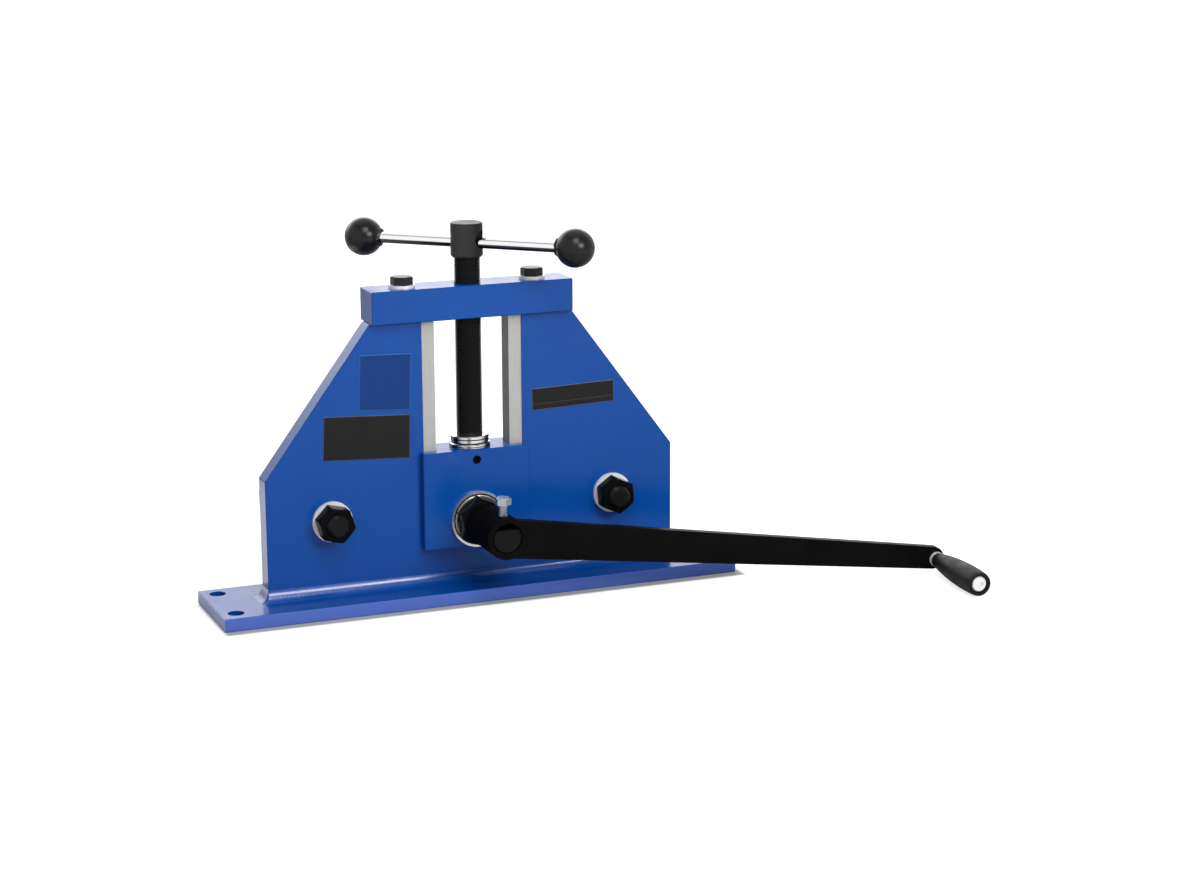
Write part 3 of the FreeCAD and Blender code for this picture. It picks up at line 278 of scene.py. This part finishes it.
def screw_oxide(head_floor):
    """The press screw: black oxide, its head painted paler toward the left: a painted reflection of the light
    from that side.
    """
    look = dark_finish("screw_oxide", BLACK, 0.36, 0.10, 700.0)
    on_head = look.spread(look.axis(look.place, "Z"), head_floor, head_floor + 1 * MM, 0.0, 1.0)
    # Painted reflection: the head's faces that turn to the left are paler grey.
    rightward = look.spread(look.axis(look.normal, "X"), -0.9, 0.4, 0.0, 1.0)
    head_painted_light = look.mix(rightward, (0.043, 0.043, 0.044), grey(0.013))
    look.set("base color", look.mix(on_head, BLACK, head_painted_light))
    return look.material


def bolt_oxide():
    """The top bar's bolts: black oxide, with the tops that face up painted pale: a painted highlight."""
    look = dark_finish("bolt_oxide", BLACK, 0.36, 0.10, 700.0)
    up_facing_painted_pale = look.spread(look.axis(look.normal, "Z"), 0.90, 0.98, 0.0, 1.0)
    # Painted highlight: the tops that face up are pale grey.
    look.set("base color", look.mix(up_facing_painted_pale, (0.024, 0.024, 0.025), grey(0.32)))
    return look.material


def hub_paint():
    """The hub's paint. It has less sheen at a glancing angle than the arm's, so that it mirrors
    little of the blue plate behind it."""
    look = dark_finish("hub_paint", grey(0.005), 0.36, 0.03)
    look.set("ior", 1.15)
    return look.material


def set_bolt_zinc():
    """Zinc on the set bolt, painted black below the hub's top: painted shade in the hub's bore."""
    look = steel("set_bolt_zinc", SILVER, 0.24, 900.0)
    hub_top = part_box("crank_hub")[1].z
    # Painted shade: black inside the hub's bore, zinc above it.
    clear = look.spread(look.axis(look.place, "Z"), hub_top - 3 * MM, hub_top, 0.0, 1.0)
    look.set("base color", look.mix(clear, grey(0.004), (0.58, 0.60, 0.64)))
    return look.material


def thrust_washer_zinc():
    """The large washer behind the shaft nut, with a dark ring painted round the lock washer's seat: painted
    shade between the washers.
    """
    look = steel("thrust_washer_zinc", SILVER, 0.3, 900.0)
    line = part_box("lock_washer")[1].x + 1.3 * MM
    away = look.off(look.around(middle("thrust_washer")), line)
    # Painted shade: a dark ring just outside the lock washer.
    off_shade_ring = look.spread(away, 0.5 * MM, 0.9 * MM, 0.0, 1.0)
    look.set("base color", look.mix(off_shade_ring, grey(0.03), SILVER))
    return look.material


def bright_zinc():
    """Washers whose plating is fresh and pale."""
    look = steel("bright_zinc", (0.88, 0.88, 0.90), 0.3, 900.0)
    look.set("metallic", 0.3)
    return look.material


def spindle_zinc():
    """Zinc on the grip's spindle, paler on its faced end, which keeps a small dimple mark."""
    look = steel("spindle_zinc", grey(0.80), 0.45, 900.0)
    look.set("metallic", 0.25)
    low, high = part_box("grip_spindle")
    head_radius = 7.1 * MM
    head = Vector((high.x - head_radius, 0, (low.z + high.z) / 2))
    dimple = look.spread(look.around(head), 1.2 * MM, 2.4 * MM, 1.0, 0.0)
    shade = look.math("MULTIPLY", dimple, look.mottle(900.0, 0.3, 1.0))
    look.set("base color", look.mix(shade, grey(0.88), (0.50, 0.50, 0.51)))
    return look.material


def chrome():
    """Polished bar, with a painted dark reflection along its underside."""
    look = Look("chrome_bar", metallic=1.0)
    # Painted reflection: the faces that turn down are dark.
    painted_dark_underside = look.spread(look.axis(look.normal, "Z"), -0.20, -0.06, 0.0, 1.0)
    tone = look.mix(look.noise(200.0), (0.93, 0.935, 0.94), grey(0.97))
    look.set("base color", look.mix(painted_dark_underside, (0.07, 0.07, 0.075), tone))
    look.set("roughness", look.mottle(60.0, 0.05, 0.07))
    return look.material


def race_steel(name, *dark_lines):
    """A bearing race: polished, with painted reflections, namely a dark streak left of the middle, dark
    flanks and pale faces that face up, and with dark lines painted at the given heights."""
    look = steel(name, (0.74, 0.74, 0.75), 0.18, 1200.0, depth=0.005 * MM)
    side = look.axis(look.normal, "X")
    # Painted reflections: a dark streak and dark flanks, set by which way the faces turn, and the faces that
    # face up painted pale.
    streak = look.spread(look.off(side, -0.36), 0.03, 0.14, 0.35, 1.0)
    flanks = look.spread(look.off(side, -0.18), 0.50, 0.72, 1.0, 0.18)
    up_facing_painted_pale = look.spread(look.axis(look.normal, "Z"), 0.6, 0.9, 0.0, 1.0)
    shine = look.math("MAXIMUM", look.math("MULTIPLY", streak, flanks), up_facing_painted_pale)
    # Dark lines painted at these heights. In the upper race's groove this is painted shade.
    for height in dark_lines:
        away = look.off(look.axis(look.place, "Z"), height)
        shine = look.math("MULTIPLY", shine, look.spread(away, 0.3 * MM, 0.6 * MM, 0.05, 1.0))
    look.set("base color", look.mix(shine, grey(0.03), (0.82, 0.82, 0.83)))
    return look.material


NUT_BLACK = dark_finish("nut_black", grey(0.004), 0.16, 0.02, 700.0).material
PALE_WASHER = bright_zinc()

# The finish of each material slot, except roller_steel, which each roller has turned about its own axle.
MATERIALS = {
    "blue_paint": blue_paint("blue_paint"),
    "chrome_bar": steel("chrome_bar_core", (0.90, 0.91, 0.92), 0.08, 300.0, depth=0.002 * MM).material,
    "ground_steel": ground_steel(),
    "black_oxide": dark_finish("black_oxide", BLACK, 0.36, 0.10, 700.0).material,
    "zinc_steel": steel("zinc_steel", SILVER, 0.34, 900.0).material,
    "bearing_steel": steel("bearing_steel", (0.60, 0.61, 0.62), 0.18, 1200.0, depth=0.005 * MM).material,
    "bronze": steel("bronze", (0.52, 0.36, 0.16), 0.3, 600.0).material,
    "black_knob": dark_finish("black_knob", (0.0082, 0.0082, 0.0088), 0.25, 0.26, grain=220.0,
                              depth=0.01 * MM, peel=0.2).material,
    "crank_paint": dark_finish("crank_paint", (0.0036, 0.0036, 0.0037), 0.36, 0.03).material,
    "grip_plastic": dark_finish("grip_plastic", (0.008, 0.008, 0.009), 0.48, 0.16, grain=900.0,
                                depth=0.05 * MM, peel=0.7).material,
}
# Nodes that look different from the rest of their slot.
OWN_LOOKS = {
    # The foot's front, back and end faces are painted paler, as painted light from the bright floor.
    "base_plate": blue_paint("blue_paint_foot", corner=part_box("base_plate")[1],
                             painted_light_faces=[("Y", (0.075, 0.140, 0.50)), ("X", (0.24, 0.29, 0.52))]),
    "grip_spindle": spindle_zinc(),
    "thrust_washer": thrust_washer_zinc(),
    "lock_washer": steel("lock_washer_grey", (0.26, 0.25, 0.24), 0.3, 900.0).material,
    "axle_nuts": NUT_BLACK,
    "shaft_nut": NUT_BLACK,
    "lock_screw": NUT_BLACK,
    "crank_hub": hub_paint(),
    "drive_shaft": dark_finish("shaft_oxide", grey(0.006), 0.36, 0.10).material,
    "top_bar_bolts": bolt_oxide(),
    "top_bar_washers": PALE_WASHER,
    "axle_washers": PALE_WASHER,
    "grip_washer": PALE_WASHER,
    "bearing_lower_race": race_steel("lower_race_steel", RACE_SEAT + RACE_LINE),
    "bearing_cage": steel("cage_brown", (0.05, 0.045, 0.04), 0.4, 900.0).material,
    # The balls are painted dark: painted shade in the gap between the races.
    "bearing_balls": steel("ball_painted_shade", grey(0.12), 0.15, 900.0).material,
}
# Each roller's core, and the stem of its discs' names.
ROLLERS = {
    "drive": ("drive_core", "drive_disc"),
    "left": ("idle_core_left", "idle_left_disc"),
    "right": ("idle_core_right", "idle_right_disc"),
}


def dress_nodes():
    """Gives every CAD node its finish."""
    for subpart in frame["record"]["subparts"]:
        name, slot = subpart["node"], subpart["material_slot"]
        NODES[name].data.materials.clear()
        if slot != "roller_steel":
            NODES[name].data.materials.append(OWN_LOOKS.get(name) or MATERIALS[slot])
    for group, (core, stem) in ROLLERS.items():
        finish = turned_steel(group, middle(core))
        for name in (core, stem + "_inner", stem + "_middle", stem + "_outer"):
            NODES[name].data.materials.append(finish)


# ---------------------------------------------------------------- mesh helpers

def sharp_above(obj, degrees):
    """Marks edges that turn by more than that angle, so that they shade sharp."""
    bm = bmesh.new()
    bm.from_mesh(obj.data)
    limit = math.radians(degrees)
    for edge in bm.edges:
        edge.smooth = not (edge.is_manifold and edge.calc_face_angle(0.0) > limit)
    bm.to_mesh(obj.data)
    bm.free()


def piece(name, bm, material, body, replaces=(), smooth=True, crease=None):
    """Turns a bmesh into a named piece that rides on a body."""
    mesh = bpy.data.meshes.new(name)
    bmesh.ops.recalc_face_normals(bm, faces=bm.faces)
    bm.to_mesh(mesh)
    bm.free()
    mesh.polygons.foreach_set("use_smooth", [smooth] * len(mesh.polygons))
    mesh.materials.append(material)
    obj = bpy.data.objects.new(name, mesh)
    bpy.context.scene.collection.objects.link(obj)
    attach(obj, body)
    if replaces:
        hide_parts(*replaces)
    if crease:
        sharp_above(obj, crease)
    return obj


def add_grid(bm, rows, close_rows=False, close_columns=False):
    """Adds a grid of points as quads. Rows are lists of points of one length."""
    grid = [[bm.verts.new(point) for point in row] for row in rows]
    row_count = len(grid) if close_rows else len(grid) - 1
    columns = len(grid[0])
    column_count = columns if close_columns else columns - 1
    for i in range(row_count):
        upper, lower = grid[i], grid[(i + 1) % len(grid)]
        for j in range(column_count):
            k = (j + 1) % columns
            bm.faces.new((upper[j], upper[k], lower[k], lower[j]))
    return grid


def lathe(outline_at, stand, count=128, closed=False):
    """A body turned about the Z axis of the matrix stand. outline_at gives its outline of
    (radius, height) at an angle."""
    rows = []
    for step in range(count):
        angle = 2 * math.pi * step / count
        rows.append([stand @ Vector((r * math.cos(angle), r * math.sin(angle), z))
                     for r, z in outline_at(angle)])
    bm = bmesh.new()
    add_grid(bm, rows, close_rows=True, close_columns=closed)
    bmesh.ops.remove_doubles(bm, verts=bm.verts, dist=1e-6)
    return bm


# ---------------------------------------------------------------- threads

def add_thread(bm, along, thread, start, end, segments=40):
    """Adds a right-hand thread on the Z axis of the matrix along, from start to end. It fades out
    to the crests' radius at both ends."""
    radius, pitch = thread
    depth = 0.6134 * pitch
    profile = ((0.0, 1.0), (0.10, 1.0), (0.42, 0.0), (0.58, 0.0), (0.90, 1.0), (1.0, 1.0))
    steps = int(round((end - start) / pitch * segments)) + segments
    columns = []
    for step in range(steps + 1):
        angle = 2 * math.pi * step / segments
        base = start + (step / segments - 1.0) * pitch
        column = []
        for offset, crest in profile:
            z = min(max(base + offset * pitch, start), end)
            fade = min(1.0, (z - start) / pitch, (end - z) / pitch)
            r = radius - depth * (1.0 - crest) * max(0.0, fade)
            column.append(along @ Vector((r * math.cos(angle), r * math.sin(angle), z)))
        columns.append(column)
    add_grid(bm, columns)


def threaded_copy(name, node, along, thread, start, end, body, material):
    """A copy of a CAD node with a real thread in place of a stretch of its plain shank."""
    bm = bmesh.new()
    bm.from_mesh(NODES[node].data)
    bmesh.ops.remove_doubles(bm, verts=bm.verts, dist=1e-6)
    back = along.inverted()
    for height in (start, end):
        bmesh.ops.bisect_plane(bm, geom=bm.verts[:] + bm.edges[:] + bm.faces[:], dist=1e-7,
                               plane_co=along @ Vector((0, 0, height)),
                               plane_no=along.to_3x3() @ Vector((0, 0, 1)))
    shank = []
    for face in bm.faces:
        local = [back @ vert.co for vert in face.verts]
        on_shank = all(abs(p.xy.length - thread[0]) < 0.05 * MM for p in local)
        if on_shank and all(start - 1e-6 < p.z < end + 1e-6 for p in local):
            shank.append(face)
    bmesh.ops.delete(bm, geom=shank, context="FACES")
    add_thread(bm, along, thread, start, end)
    piece(name, bm, material, body, replaces=(node,), crease=CREASE)


def threaded_screw():
    """The press screw, threaded from the bearing to the head that holds the tommy bar."""
    bearing_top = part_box("bearing_upper_race")[1].z + RACE_RISE
    head_below_bar = 12.98 * MM
    head_floor = middle("tommy_bar").z - head_below_bar
    threaded_copy("press_screw_threaded", "press_screw", Matrix.Identity(4), SCREW_THREAD,
                  bearing_top + 1 * MM, head_floor, "screw", screw_oxide(head_floor))


def threaded_axle(side):
    """An idle axle, whose stub in front of its nut is threaded up to 2 mm from the faced end."""
    axle = "idle_axle_" + side
    axis = middle("idle_core_" + side)
    to_front = Matrix.Rotation(math.radians(90), 4, "X")
    stand = Matrix.Translation((axis.x, 0, axis.z)) @ to_front
    front = -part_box(axle)[0].y
    stub, bare_end = 8 * MM, 2 * MM
    threaded_copy(axle + "_threaded", axle, stand, AXLE_THREAD, front - stub, front - bare_end,
                  "root", faced_oxide(side, axis))


def threaded_set_bolt():
    """The set bolt's shank, threaded under its head."""
    bolt = middle("set_bolt")
    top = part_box("set_bolt")[1].z
    length, under_head = 18 * MM, 6.5 * MM
    threaded_copy("set_bolt_threaded", "set_bolt", Matrix.Translation((bolt.x, bolt.y, 0)),
                  SET_BOLT_THREAD, top - length, top - under_head, "crank", set_bolt_zinc())


# ---------------------------------------------------------------- turned and welded pieces

def upper_race():
    """The upper bearing race, with the groove and the short skirt of its turned outside."""
    low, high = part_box("bearing_upper_race")
    outer, bore = (high.x - low.x) / 2, 10.05 * MM
    foot, top = low.z, high.z + RACE_RISE
    groove = RACE_SEAT + RACE_GROOVE
    chamfer = 0.6 * MM
    skirt_wall, skirt_drop = 0.6 * MM, 0.9 * MM
    groove_depth, lip, floor_half = 0.7 * MM, 0.5 * MM, 0.3 * MM
    outline = [
        (bore, foot), (outer - skirt_wall, foot),
        (outer - skirt_wall, foot - skirt_drop), (outer, foot - skirt_drop),
        (outer, groove - lip), (outer - groove_depth, groove - floor_half),
        (outer - groove_depth, groove + floor_half), (outer, groove + lip),
        (outer, top - chamfer), (outer - chamfer, top), (bore, top),
    ]
    centre = middle("bearing_upper_race")
    bm = lathe(lambda angle: outline, Matrix.Translation((centre.x, centre.y, 0)), closed=True)
    piece("bearing_upper_race_turned", bm, race_steel("upper_race_steel", groove), "screw",
          replaces=("bearing_upper_race",), crease=CREASE)


def polished_bar():
    """The tommy bar as one smooth turned rod with chamfered ends."""
    low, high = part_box("tommy_bar")
    radius = (high.z - low.z) / 2
    centre = (low + high) / 2
    # Its axis runs through the middles of the two ends.
    points = [vert.co.copy() for vert in NODES["tommy_bar"].data.vertices]
    ends = []
    for sign in (-1, 1):
        near = [p for p in points if (p.x - centre.x) * sign > 0]
        ends.append(sum(near, Vector()) / len(near))
    axis = (ends[1] - ends[0]).normalized()
    half = max((p - centre).dot(axis) for p in points)
    stand = Matrix.Translation(centre) @ axis.to_track_quat("Z", "Y").to_matrix().to_4x4()
    chamfer = 0.6 * MM
    outline = [(0.0, -half), (radius - chamfer, -half), (radius, chamfer - half),
               (radius, half - chamfer), (radius - chamfer, half), (0.0, half)]
    piece("tommy_bar_polished", lathe(lambda angle: outline, stand), chrome(), "tommy",
          replaces=("tommy_bar",), crease=CREASE)


def knob(side, sign):
    """Ball knob with a short collar, whose face has shallow notches, on the tommy bar."""
    # Radii of the ball, its collar and the bore, and how far the collar's face is from the centre.
    ball, collar, bore, reach = 17.5 * MM, 8.25 * MM, 5.02 * MM, 17.63 * MM
    # The ball touches the outer sides of its box.
    low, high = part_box("knob_" + side)
    outer = (high.x, low.y) if sign > 0 else (low.x, high.y)
    centre = Vector((outer[0] - sign * ball, outer[1] + sign * ball, (low.z + high.z) / 2))
    bar = middle("tommy_bar")
    inward = Vector((bar.x - centre.x, bar.y - centre.y, 0)).normalized()
    stand = Matrix.Translation(centre) @ inward.to_track_quat("Z", "Y").to_matrix().to_4x4()

    # Radius, height, and the share of the notches' depth that the point takes.
    outline = []
    ball_steps = 40
    turn_off = math.asin(collar / ball)
    for i in range(ball_steps + 1):
        angle = math.pi - (math.pi - turn_off) * i / ball_steps
        outline.append((ball * math.sin(angle), ball * math.cos(angle), 0.0))
    chamfer, face_edge, hole_depth = 0.5 * MM, 6.6 * MM, 3 * MM
    outline += [(collar, reach - chamfer, 0.4), (collar - chamfer, reach, 1.0), (face_edge, reach, 1.0),
                (bore + chamfer, reach, 0.6), (bore, reach - chamfer, 0.0), (bore, reach - hole_depth, 0.0)]
    notches, notch_depth = 6, 1.0 * MM

    def outline_at(angle):
        notch = notch_depth * max(0.0, math.cos(notches * angle)) ** 4
        return [(r, z - share * notch) for r, z, share in outline]

    piece("knob_%s_moulded" % side, lathe(outline_at, stand, count=96), MATERIALS["black_knob"],
          "tommy", replaces=("knob_" + side,), crease=50)


def weld_path(corner, pace):
    """Points round the upright plate's foot, a pace apart, each with its direction away from the
    plate. At each of the plate's corners the direction turns on the spot."""
    corners = [Vector((corner.x * x, corner.y * y)) for x, y in ((1, -1), (1, 1), (-1, 1), (-1, -1))]
    turn_steps = 10
    path = []
    for i, at in enumerate(corners):
        start_angle = math.radians(90 * i - 90)
        end_angle = start_angle + math.radians(90)
        for step in range(turn_steps):
            angle = start_angle + math.radians(90) * step / turn_steps
            path.append((at, Vector((math.cos(angle), math.sin(angle)))))
        outward = Vector((math.cos(end_angle), math.sin(end_angle)))
        beyond = corners[(i + 1) % 4]
        count = int((beyond - at).length / pace)
        path += [(at.lerp(beyond, step / count), outward) for step in range(count)]
    return path


def weld_run():
    """Fillet weld round the plate's foot: a concave bead with the faint ripples of its passes. It
    climbs higher up the plate toward its left end."""
    rng = random.Random(7)
    low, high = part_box("weld_bead")
    leg = high.z - low.z
    corner = Vector((high.x - leg, high.y - leg))
    pace, ripple_length, bite = 0.9 * MM, 4.2 * MM, 0.2 * MM
    left_climb = 0.28
    hollow = 0.88      # share of a quarter circle in the bead's section; the rest is a straight slope
    across = 10
    # The welder's hand drifts, and always comes back: each point keeps most of the last one's drift.
    kept, stray = 0.93, 0.03
    rows = []
    drift = 0.0
    for step, (at, outward) in enumerate(weld_path(corner, pace)):
        drift = kept * drift + rng.uniform(-stray, stray)
        ripple = 0.0015 * math.sin(step * pace * 2 * math.pi / ripple_length) + 0.012 * drift
        width = leg * (0.98 + 0.04 * drift)
        climb = 1.0 + left_climb * max(0.0, -at.x / corner.x)
        row = []
        for k in range(across + 1):
            t = k / across
            angle = math.radians(90) * t
            swell = ripple * math.sin(math.pi * t)
            away = width * ((1 - math.sin(angle)) * hollow + (1 - t) * (1 - hollow) + swell)
            up = climb * width * ((1 - math.cos(angle)) * hollow + t * (1 - hollow) + swell)
            if k == 0:
                up = -bite
            if k == across:
                away = -bite
            row.append((at.x + outward.x * away, at.y + outward.y * away, low.z + min(up, climb * leg)))
        rows.append(row)
    bm = bmesh.new()
    add_grid(bm, rows, close_rows=True)
    piece("weld_run", bm, blue_paint("blue_paint_weld", ior=1.62), "root",
          replaces=("weld_bead",))


# ---------------------------------------------------------------- labels

def label(name, corners, face, edge, border, rules=()):
    """A bare plate on the upright plate's front face: a thin rim round a plain field, which rules,
    given as two ends and a thickness, may divide."""
    centre = sum((Vector(c) for c in corners), Vector((0, 0))) / 4
    sheet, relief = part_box("main_plate")[0].y, 0.30 * MM
    sunk, chamfer = 0.05 * MM, 0.25 * MM

    look = Look(name, specular_ior_level=0.2)
    lighter_face = tuple(1.15 * channel + 0.001 for channel in face)
    look.set("base color", look.mix(look.mottle(120.0, 0.0, 1.0), face, lighter_face))
    look.set("roughness", look.mottle(300.0, 0.28, 0.40))
    look.set("normal", look.bump(look.noise(900.0, 2.0), 0.02 * MM, 0.3))
    rim = Look(name + "_rim", specular_ior_level=0.3)
    rim.set("base color", rim.mix(rim.noise(200.0), edge, tuple(1.1 * channel for channel in edge)))
    rim.set("roughness", rim.mottle(300.0, 0.3, 0.4))

    bm = bmesh.new()
    loops = []
    for inset, out in ((0.0, -sunk), (0.0, relief * 0.7), (chamfer, relief), (border, relief),
                       (border, relief * 0.85)):
        loop = []
        for c in corners:
            p = Vector(c)
            toward = centre - p
            shift = Vector((math.copysign(inset, toward.x), math.copysign(inset, toward.y)))
            loop.append((p.x + shift.x, sheet - out, p.y + shift.y))
        loops.append(loop)
    grid = add_grid(bm, loops, close_columns=True)
    for f in bm.faces:
        f.material_index = 1
    bm.faces.new(grid[-1]).material_index = 0
    for (x0, z0), (x1, z1), thick in rules:
        y = sheet - relief
        quad = [bm.verts.new(p) for p in ((x0, y, z0), (x1, y, z1), (x1, y, z1 + thick), (x0, y, z0 + thick))]
        bm.faces.new(quad).material_index = 1
    obj = piece(name, bm, look.material, "root", smooth=False)
    obj.data.materials.append(rim.material)


def in_mm(*points):
    """Places (x, z) on the plate, written in millimetres."""
    return [(x * MM, z * MM) for x, z in points]


def labels():
    """The three bare labels, a little askew, as they are stuck on."""
    label("label_black_left", in_mm((-140.6, 176.1), (-60.0, 171.9), (-61.0, 131.6), (-142.6, 135.9)),
          face=grey(0.006), edge=(0.035, 0.037, 0.042), border=0.8 * MM)
    label("label_blue", in_mm((-106.2, 229.3), (-57.8, 227.6), (-59.9, 176.1), (-108.1, 178.6)),
          face=(0.001, 0.032, 0.165), edge=(0.010, 0.075, 0.26), border=0.9 * MM)
    rule_ends = in_mm((58.5, 170.2), (136.6, 172.4))
    label("label_black_right", in_mm((56.9, 185.0), (137.9, 187.3), (138.2, 167.1), (57.3, 164.8)),
          face=grey(0.006), edge=(0.055, 0.06, 0.07), border=0.6 * MM,
          rules=[(*rule_ends, 0.35 * MM)])


# ---------------------------------------------------------------- floor, light, camera

def floor():
    """A wide pale floor. It glows for camera, glossy and transmission rays, and so reads as
    white, but not close to the foot, where a contact shadow is painted on it."""
    look = Look("floor", roughness=0.6, specular_ior_level=0.1, emission_color=(1, 1, 1))
    along, across = look.axis(look.place, "X"), look.axis(look.place, "Y")
    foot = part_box("base_plate")[1]

    # The painted shadow reaches out from under the foot: 2 mm to the right, and 7 to 9 mm to the front.
    to_right = 2 * MM
    to_front = look.spread(along, -foot.x, foot.x, 7 * MM, 9 * MM)
    squares = []
    for place, edge in ((look.math("SUBTRACT", along, to_right), foot.x),
                        (look.math("ADD", across, to_front), foot.y)):
        beyond = look.math("SUBTRACT", look.math("ABSOLUTE", place), edge)
        beyond = look.math("MAXIMUM", beyond, 0.0)
        squares.append(look.math("MULTIPLY", beyond, beyond))
    away = look.math("SQRT", look.math("ADD", *squares))
    fade = 6 * MM
    # Painted shadow: close to the foot the floor is darker and glows less for the camera.
    look.set("base color", look.spread(away, 0.0, fade, 0.30, 0.60))
    seen_glow = look.spread(away, 0.0, fade, 0.09, 0.75)

    # The glow that the object mirrors: none close by, pale further off, and dimmer behind it.
    in_front = look.spread(across, 0.1, 0.5, 1.0, 0.2)
    mirrored_glow = look.math("MULTIPLY", look.spread(away, 0.40, 1.30, 0.0, 0.60), in_front)
    path = look.add("LightPath").outputs
    for_mirrors = look.math("MAXIMUM", path["Is Glossy Ray"], path["Is Transmission Ray"])
    seen = look.math("MULTIPLY", path["Is Camera Ray"], seen_glow)
    mirrored = look.math("MULTIPLY", for_mirrors, mirrored_glow)
    look.set("emission strength", look.math("ADD", seen, mirrored))

    half = 16.0
    mesh = bpy.data.meshes.new("floor")
    mesh.from_pydata([(-half, -half, 0), (half, -half, 0), (half, half, 0), (-half, half, 0)], [],
                     [(0, 1, 2, 3)])
    mesh.materials.append(look.material)
    obj = bpy.data.objects.new("floor", mesh)
    obj.location.z = -0.05 * MM
    bpy.context.scene.collection.objects.link(obj)


def world():
    """White studio: full white for the camera and, to the left and behind, for reflections, with
    a dim band high up that gives polished metal a streak, and softer as light on the object."""
    scene_world = bpy.data.worlds.new("studio")
    bpy.context.scene.world = scene_world
    scene_world.use_nodes = True
    graph = Graph(scene_world.node_tree)
    sky = graph.add("TexCoord").outputs["Generated"]
    path = graph.add("LightPath").outputs
    x, y, z = (graph.axis(sky, letter) for letter in "XYZ")

    dim, softened = 0.38, 0.42
    leftward = graph.math("ADD", graph.math("MULTIPLY", x, -0.90), graph.math("MULTIPLY", y, -0.43))
    left_card = graph.spread(leftward, 0.40, 0.80, dim, 1.0)
    backdrop = graph.spread(y, -0.25, 0.15, dim, 1.0)
    right_card = graph.spread(x, 0.70, 0.95, dim, 0.75)
    around = graph.math("MAXIMUM", left_card, graph.math("MAXIMUM", backdrop, right_card))
    band = graph.spread(graph.off(x, -0.49), 0.03, 0.08, 0.05, 1.0)
    low_down = graph.spread(z, 0.60, 0.75, 1.0, 0.0)
    mirrored = graph.math("MULTIPLY", around, graph.math("MAXIMUM", band, low_down))

    for_mirrors = graph.math("MAXIMUM", path["Is Glossy Ray"], path["Is Transmission Ray"])
    as_light = graph.blend(for_mirrors, softened, mirrored)
    background = graph.tree.nodes["Background"]
    graph.feed(background.inputs["Strength"], graph.blend(path["Is Camera Ray"], as_light, 1.0))
    graph.feed(background.inputs["Color"], (1, 1, 1))


def area_light(name, position, target, size, power):
    """A rectangular lamp that faces its target and isn't seen by the camera."""
    data = bpy.data.lights.new(name, "AREA")
    data.shape = "RECTANGLE"
    data.size, data.size_y = size
    data.energy = power
    obj = bpy.data.objects.new(name, data)
    obj.location = position
    obj.rotation_mode = "QUATERNION"
    obj.rotation_quaternion = (Vector(target) - Vector(position)).to_track_quat("-Z", "Y")
    obj.visible_camera = False
    bpy.context.scene.collection.objects.link(obj)


def lamps():
    """A key and a front light, a broad sweep from behind, and on the floor behind, to the left, a
    faint card that the faces on the left mirror."""
    tool = (0.0, 0.0, 0.2)
    area_light("key", (-0.10, -0.80, 1.25), tool, size=(0.6, 0.6), power=7.5)
    area_light("front", (0.55, -1.75, 1.0), tool, size=(0.8, 0.6), power=20.0)
    area_light("sweep", (0.2, 2.4, 1.35), (0.2, 0.0, 0.75), size=(4.4, 1.3), power=36.0)
    area_light("card", (-0.31, 0.27, 0.002), (-0.31, 0.27, 1.0), size=(0.2, 0.4), power=0.28)


def camera():
    """The viewpoint in front, to the left and a little above, with square pixels and no shift."""
    eye = Vector((-0.770, -2.1915, 0.6846))
    yaw, pitch, roll = (math.radians(v) for v in (22.16, 13.34, -0.27))
    focal_px, frame_width_px, sensor_mm = 2609.0, 1188.0, 36.0
    ahead = Vector((math.sin(yaw) * math.cos(pitch), math.cos(yaw) * math.cos(pitch), -math.sin(pitch)))
    right = Vector((math.cos(yaw), -math.sin(yaw), 0))
    up = right.cross(ahead)
    right, up = (math.cos(roll) * right + math.sin(roll) * up, math.cos(roll) * up - math.sin(roll) * right)
    data = bpy.data.cameras.new("camera")
    data.sensor_width = sensor_mm
    data.lens = sensor_mm * focal_px / frame_width_px
    data.clip_end = 100.0
    obj = bpy.data.objects.new("camera", data)
    obj.matrix_world = Matrix.Translation(eye) @ Matrix((right, up, -ahead)).transposed().to_4x4()
    bpy.context.scene.collection.objects.link(obj)
    bpy.context.scene.camera = obj


dress_nodes()
threaded_screw()
threaded_axle("left")
threaded_axle("right")
threaded_set_bolt()
upper_race()
polished_bar()
weld_run()
knob("left", -1)
knob("right", 1)
labels()
floor()
world()
lamps()
camera()
bpy.context.scene.view_settings.view_transform = "Standard"
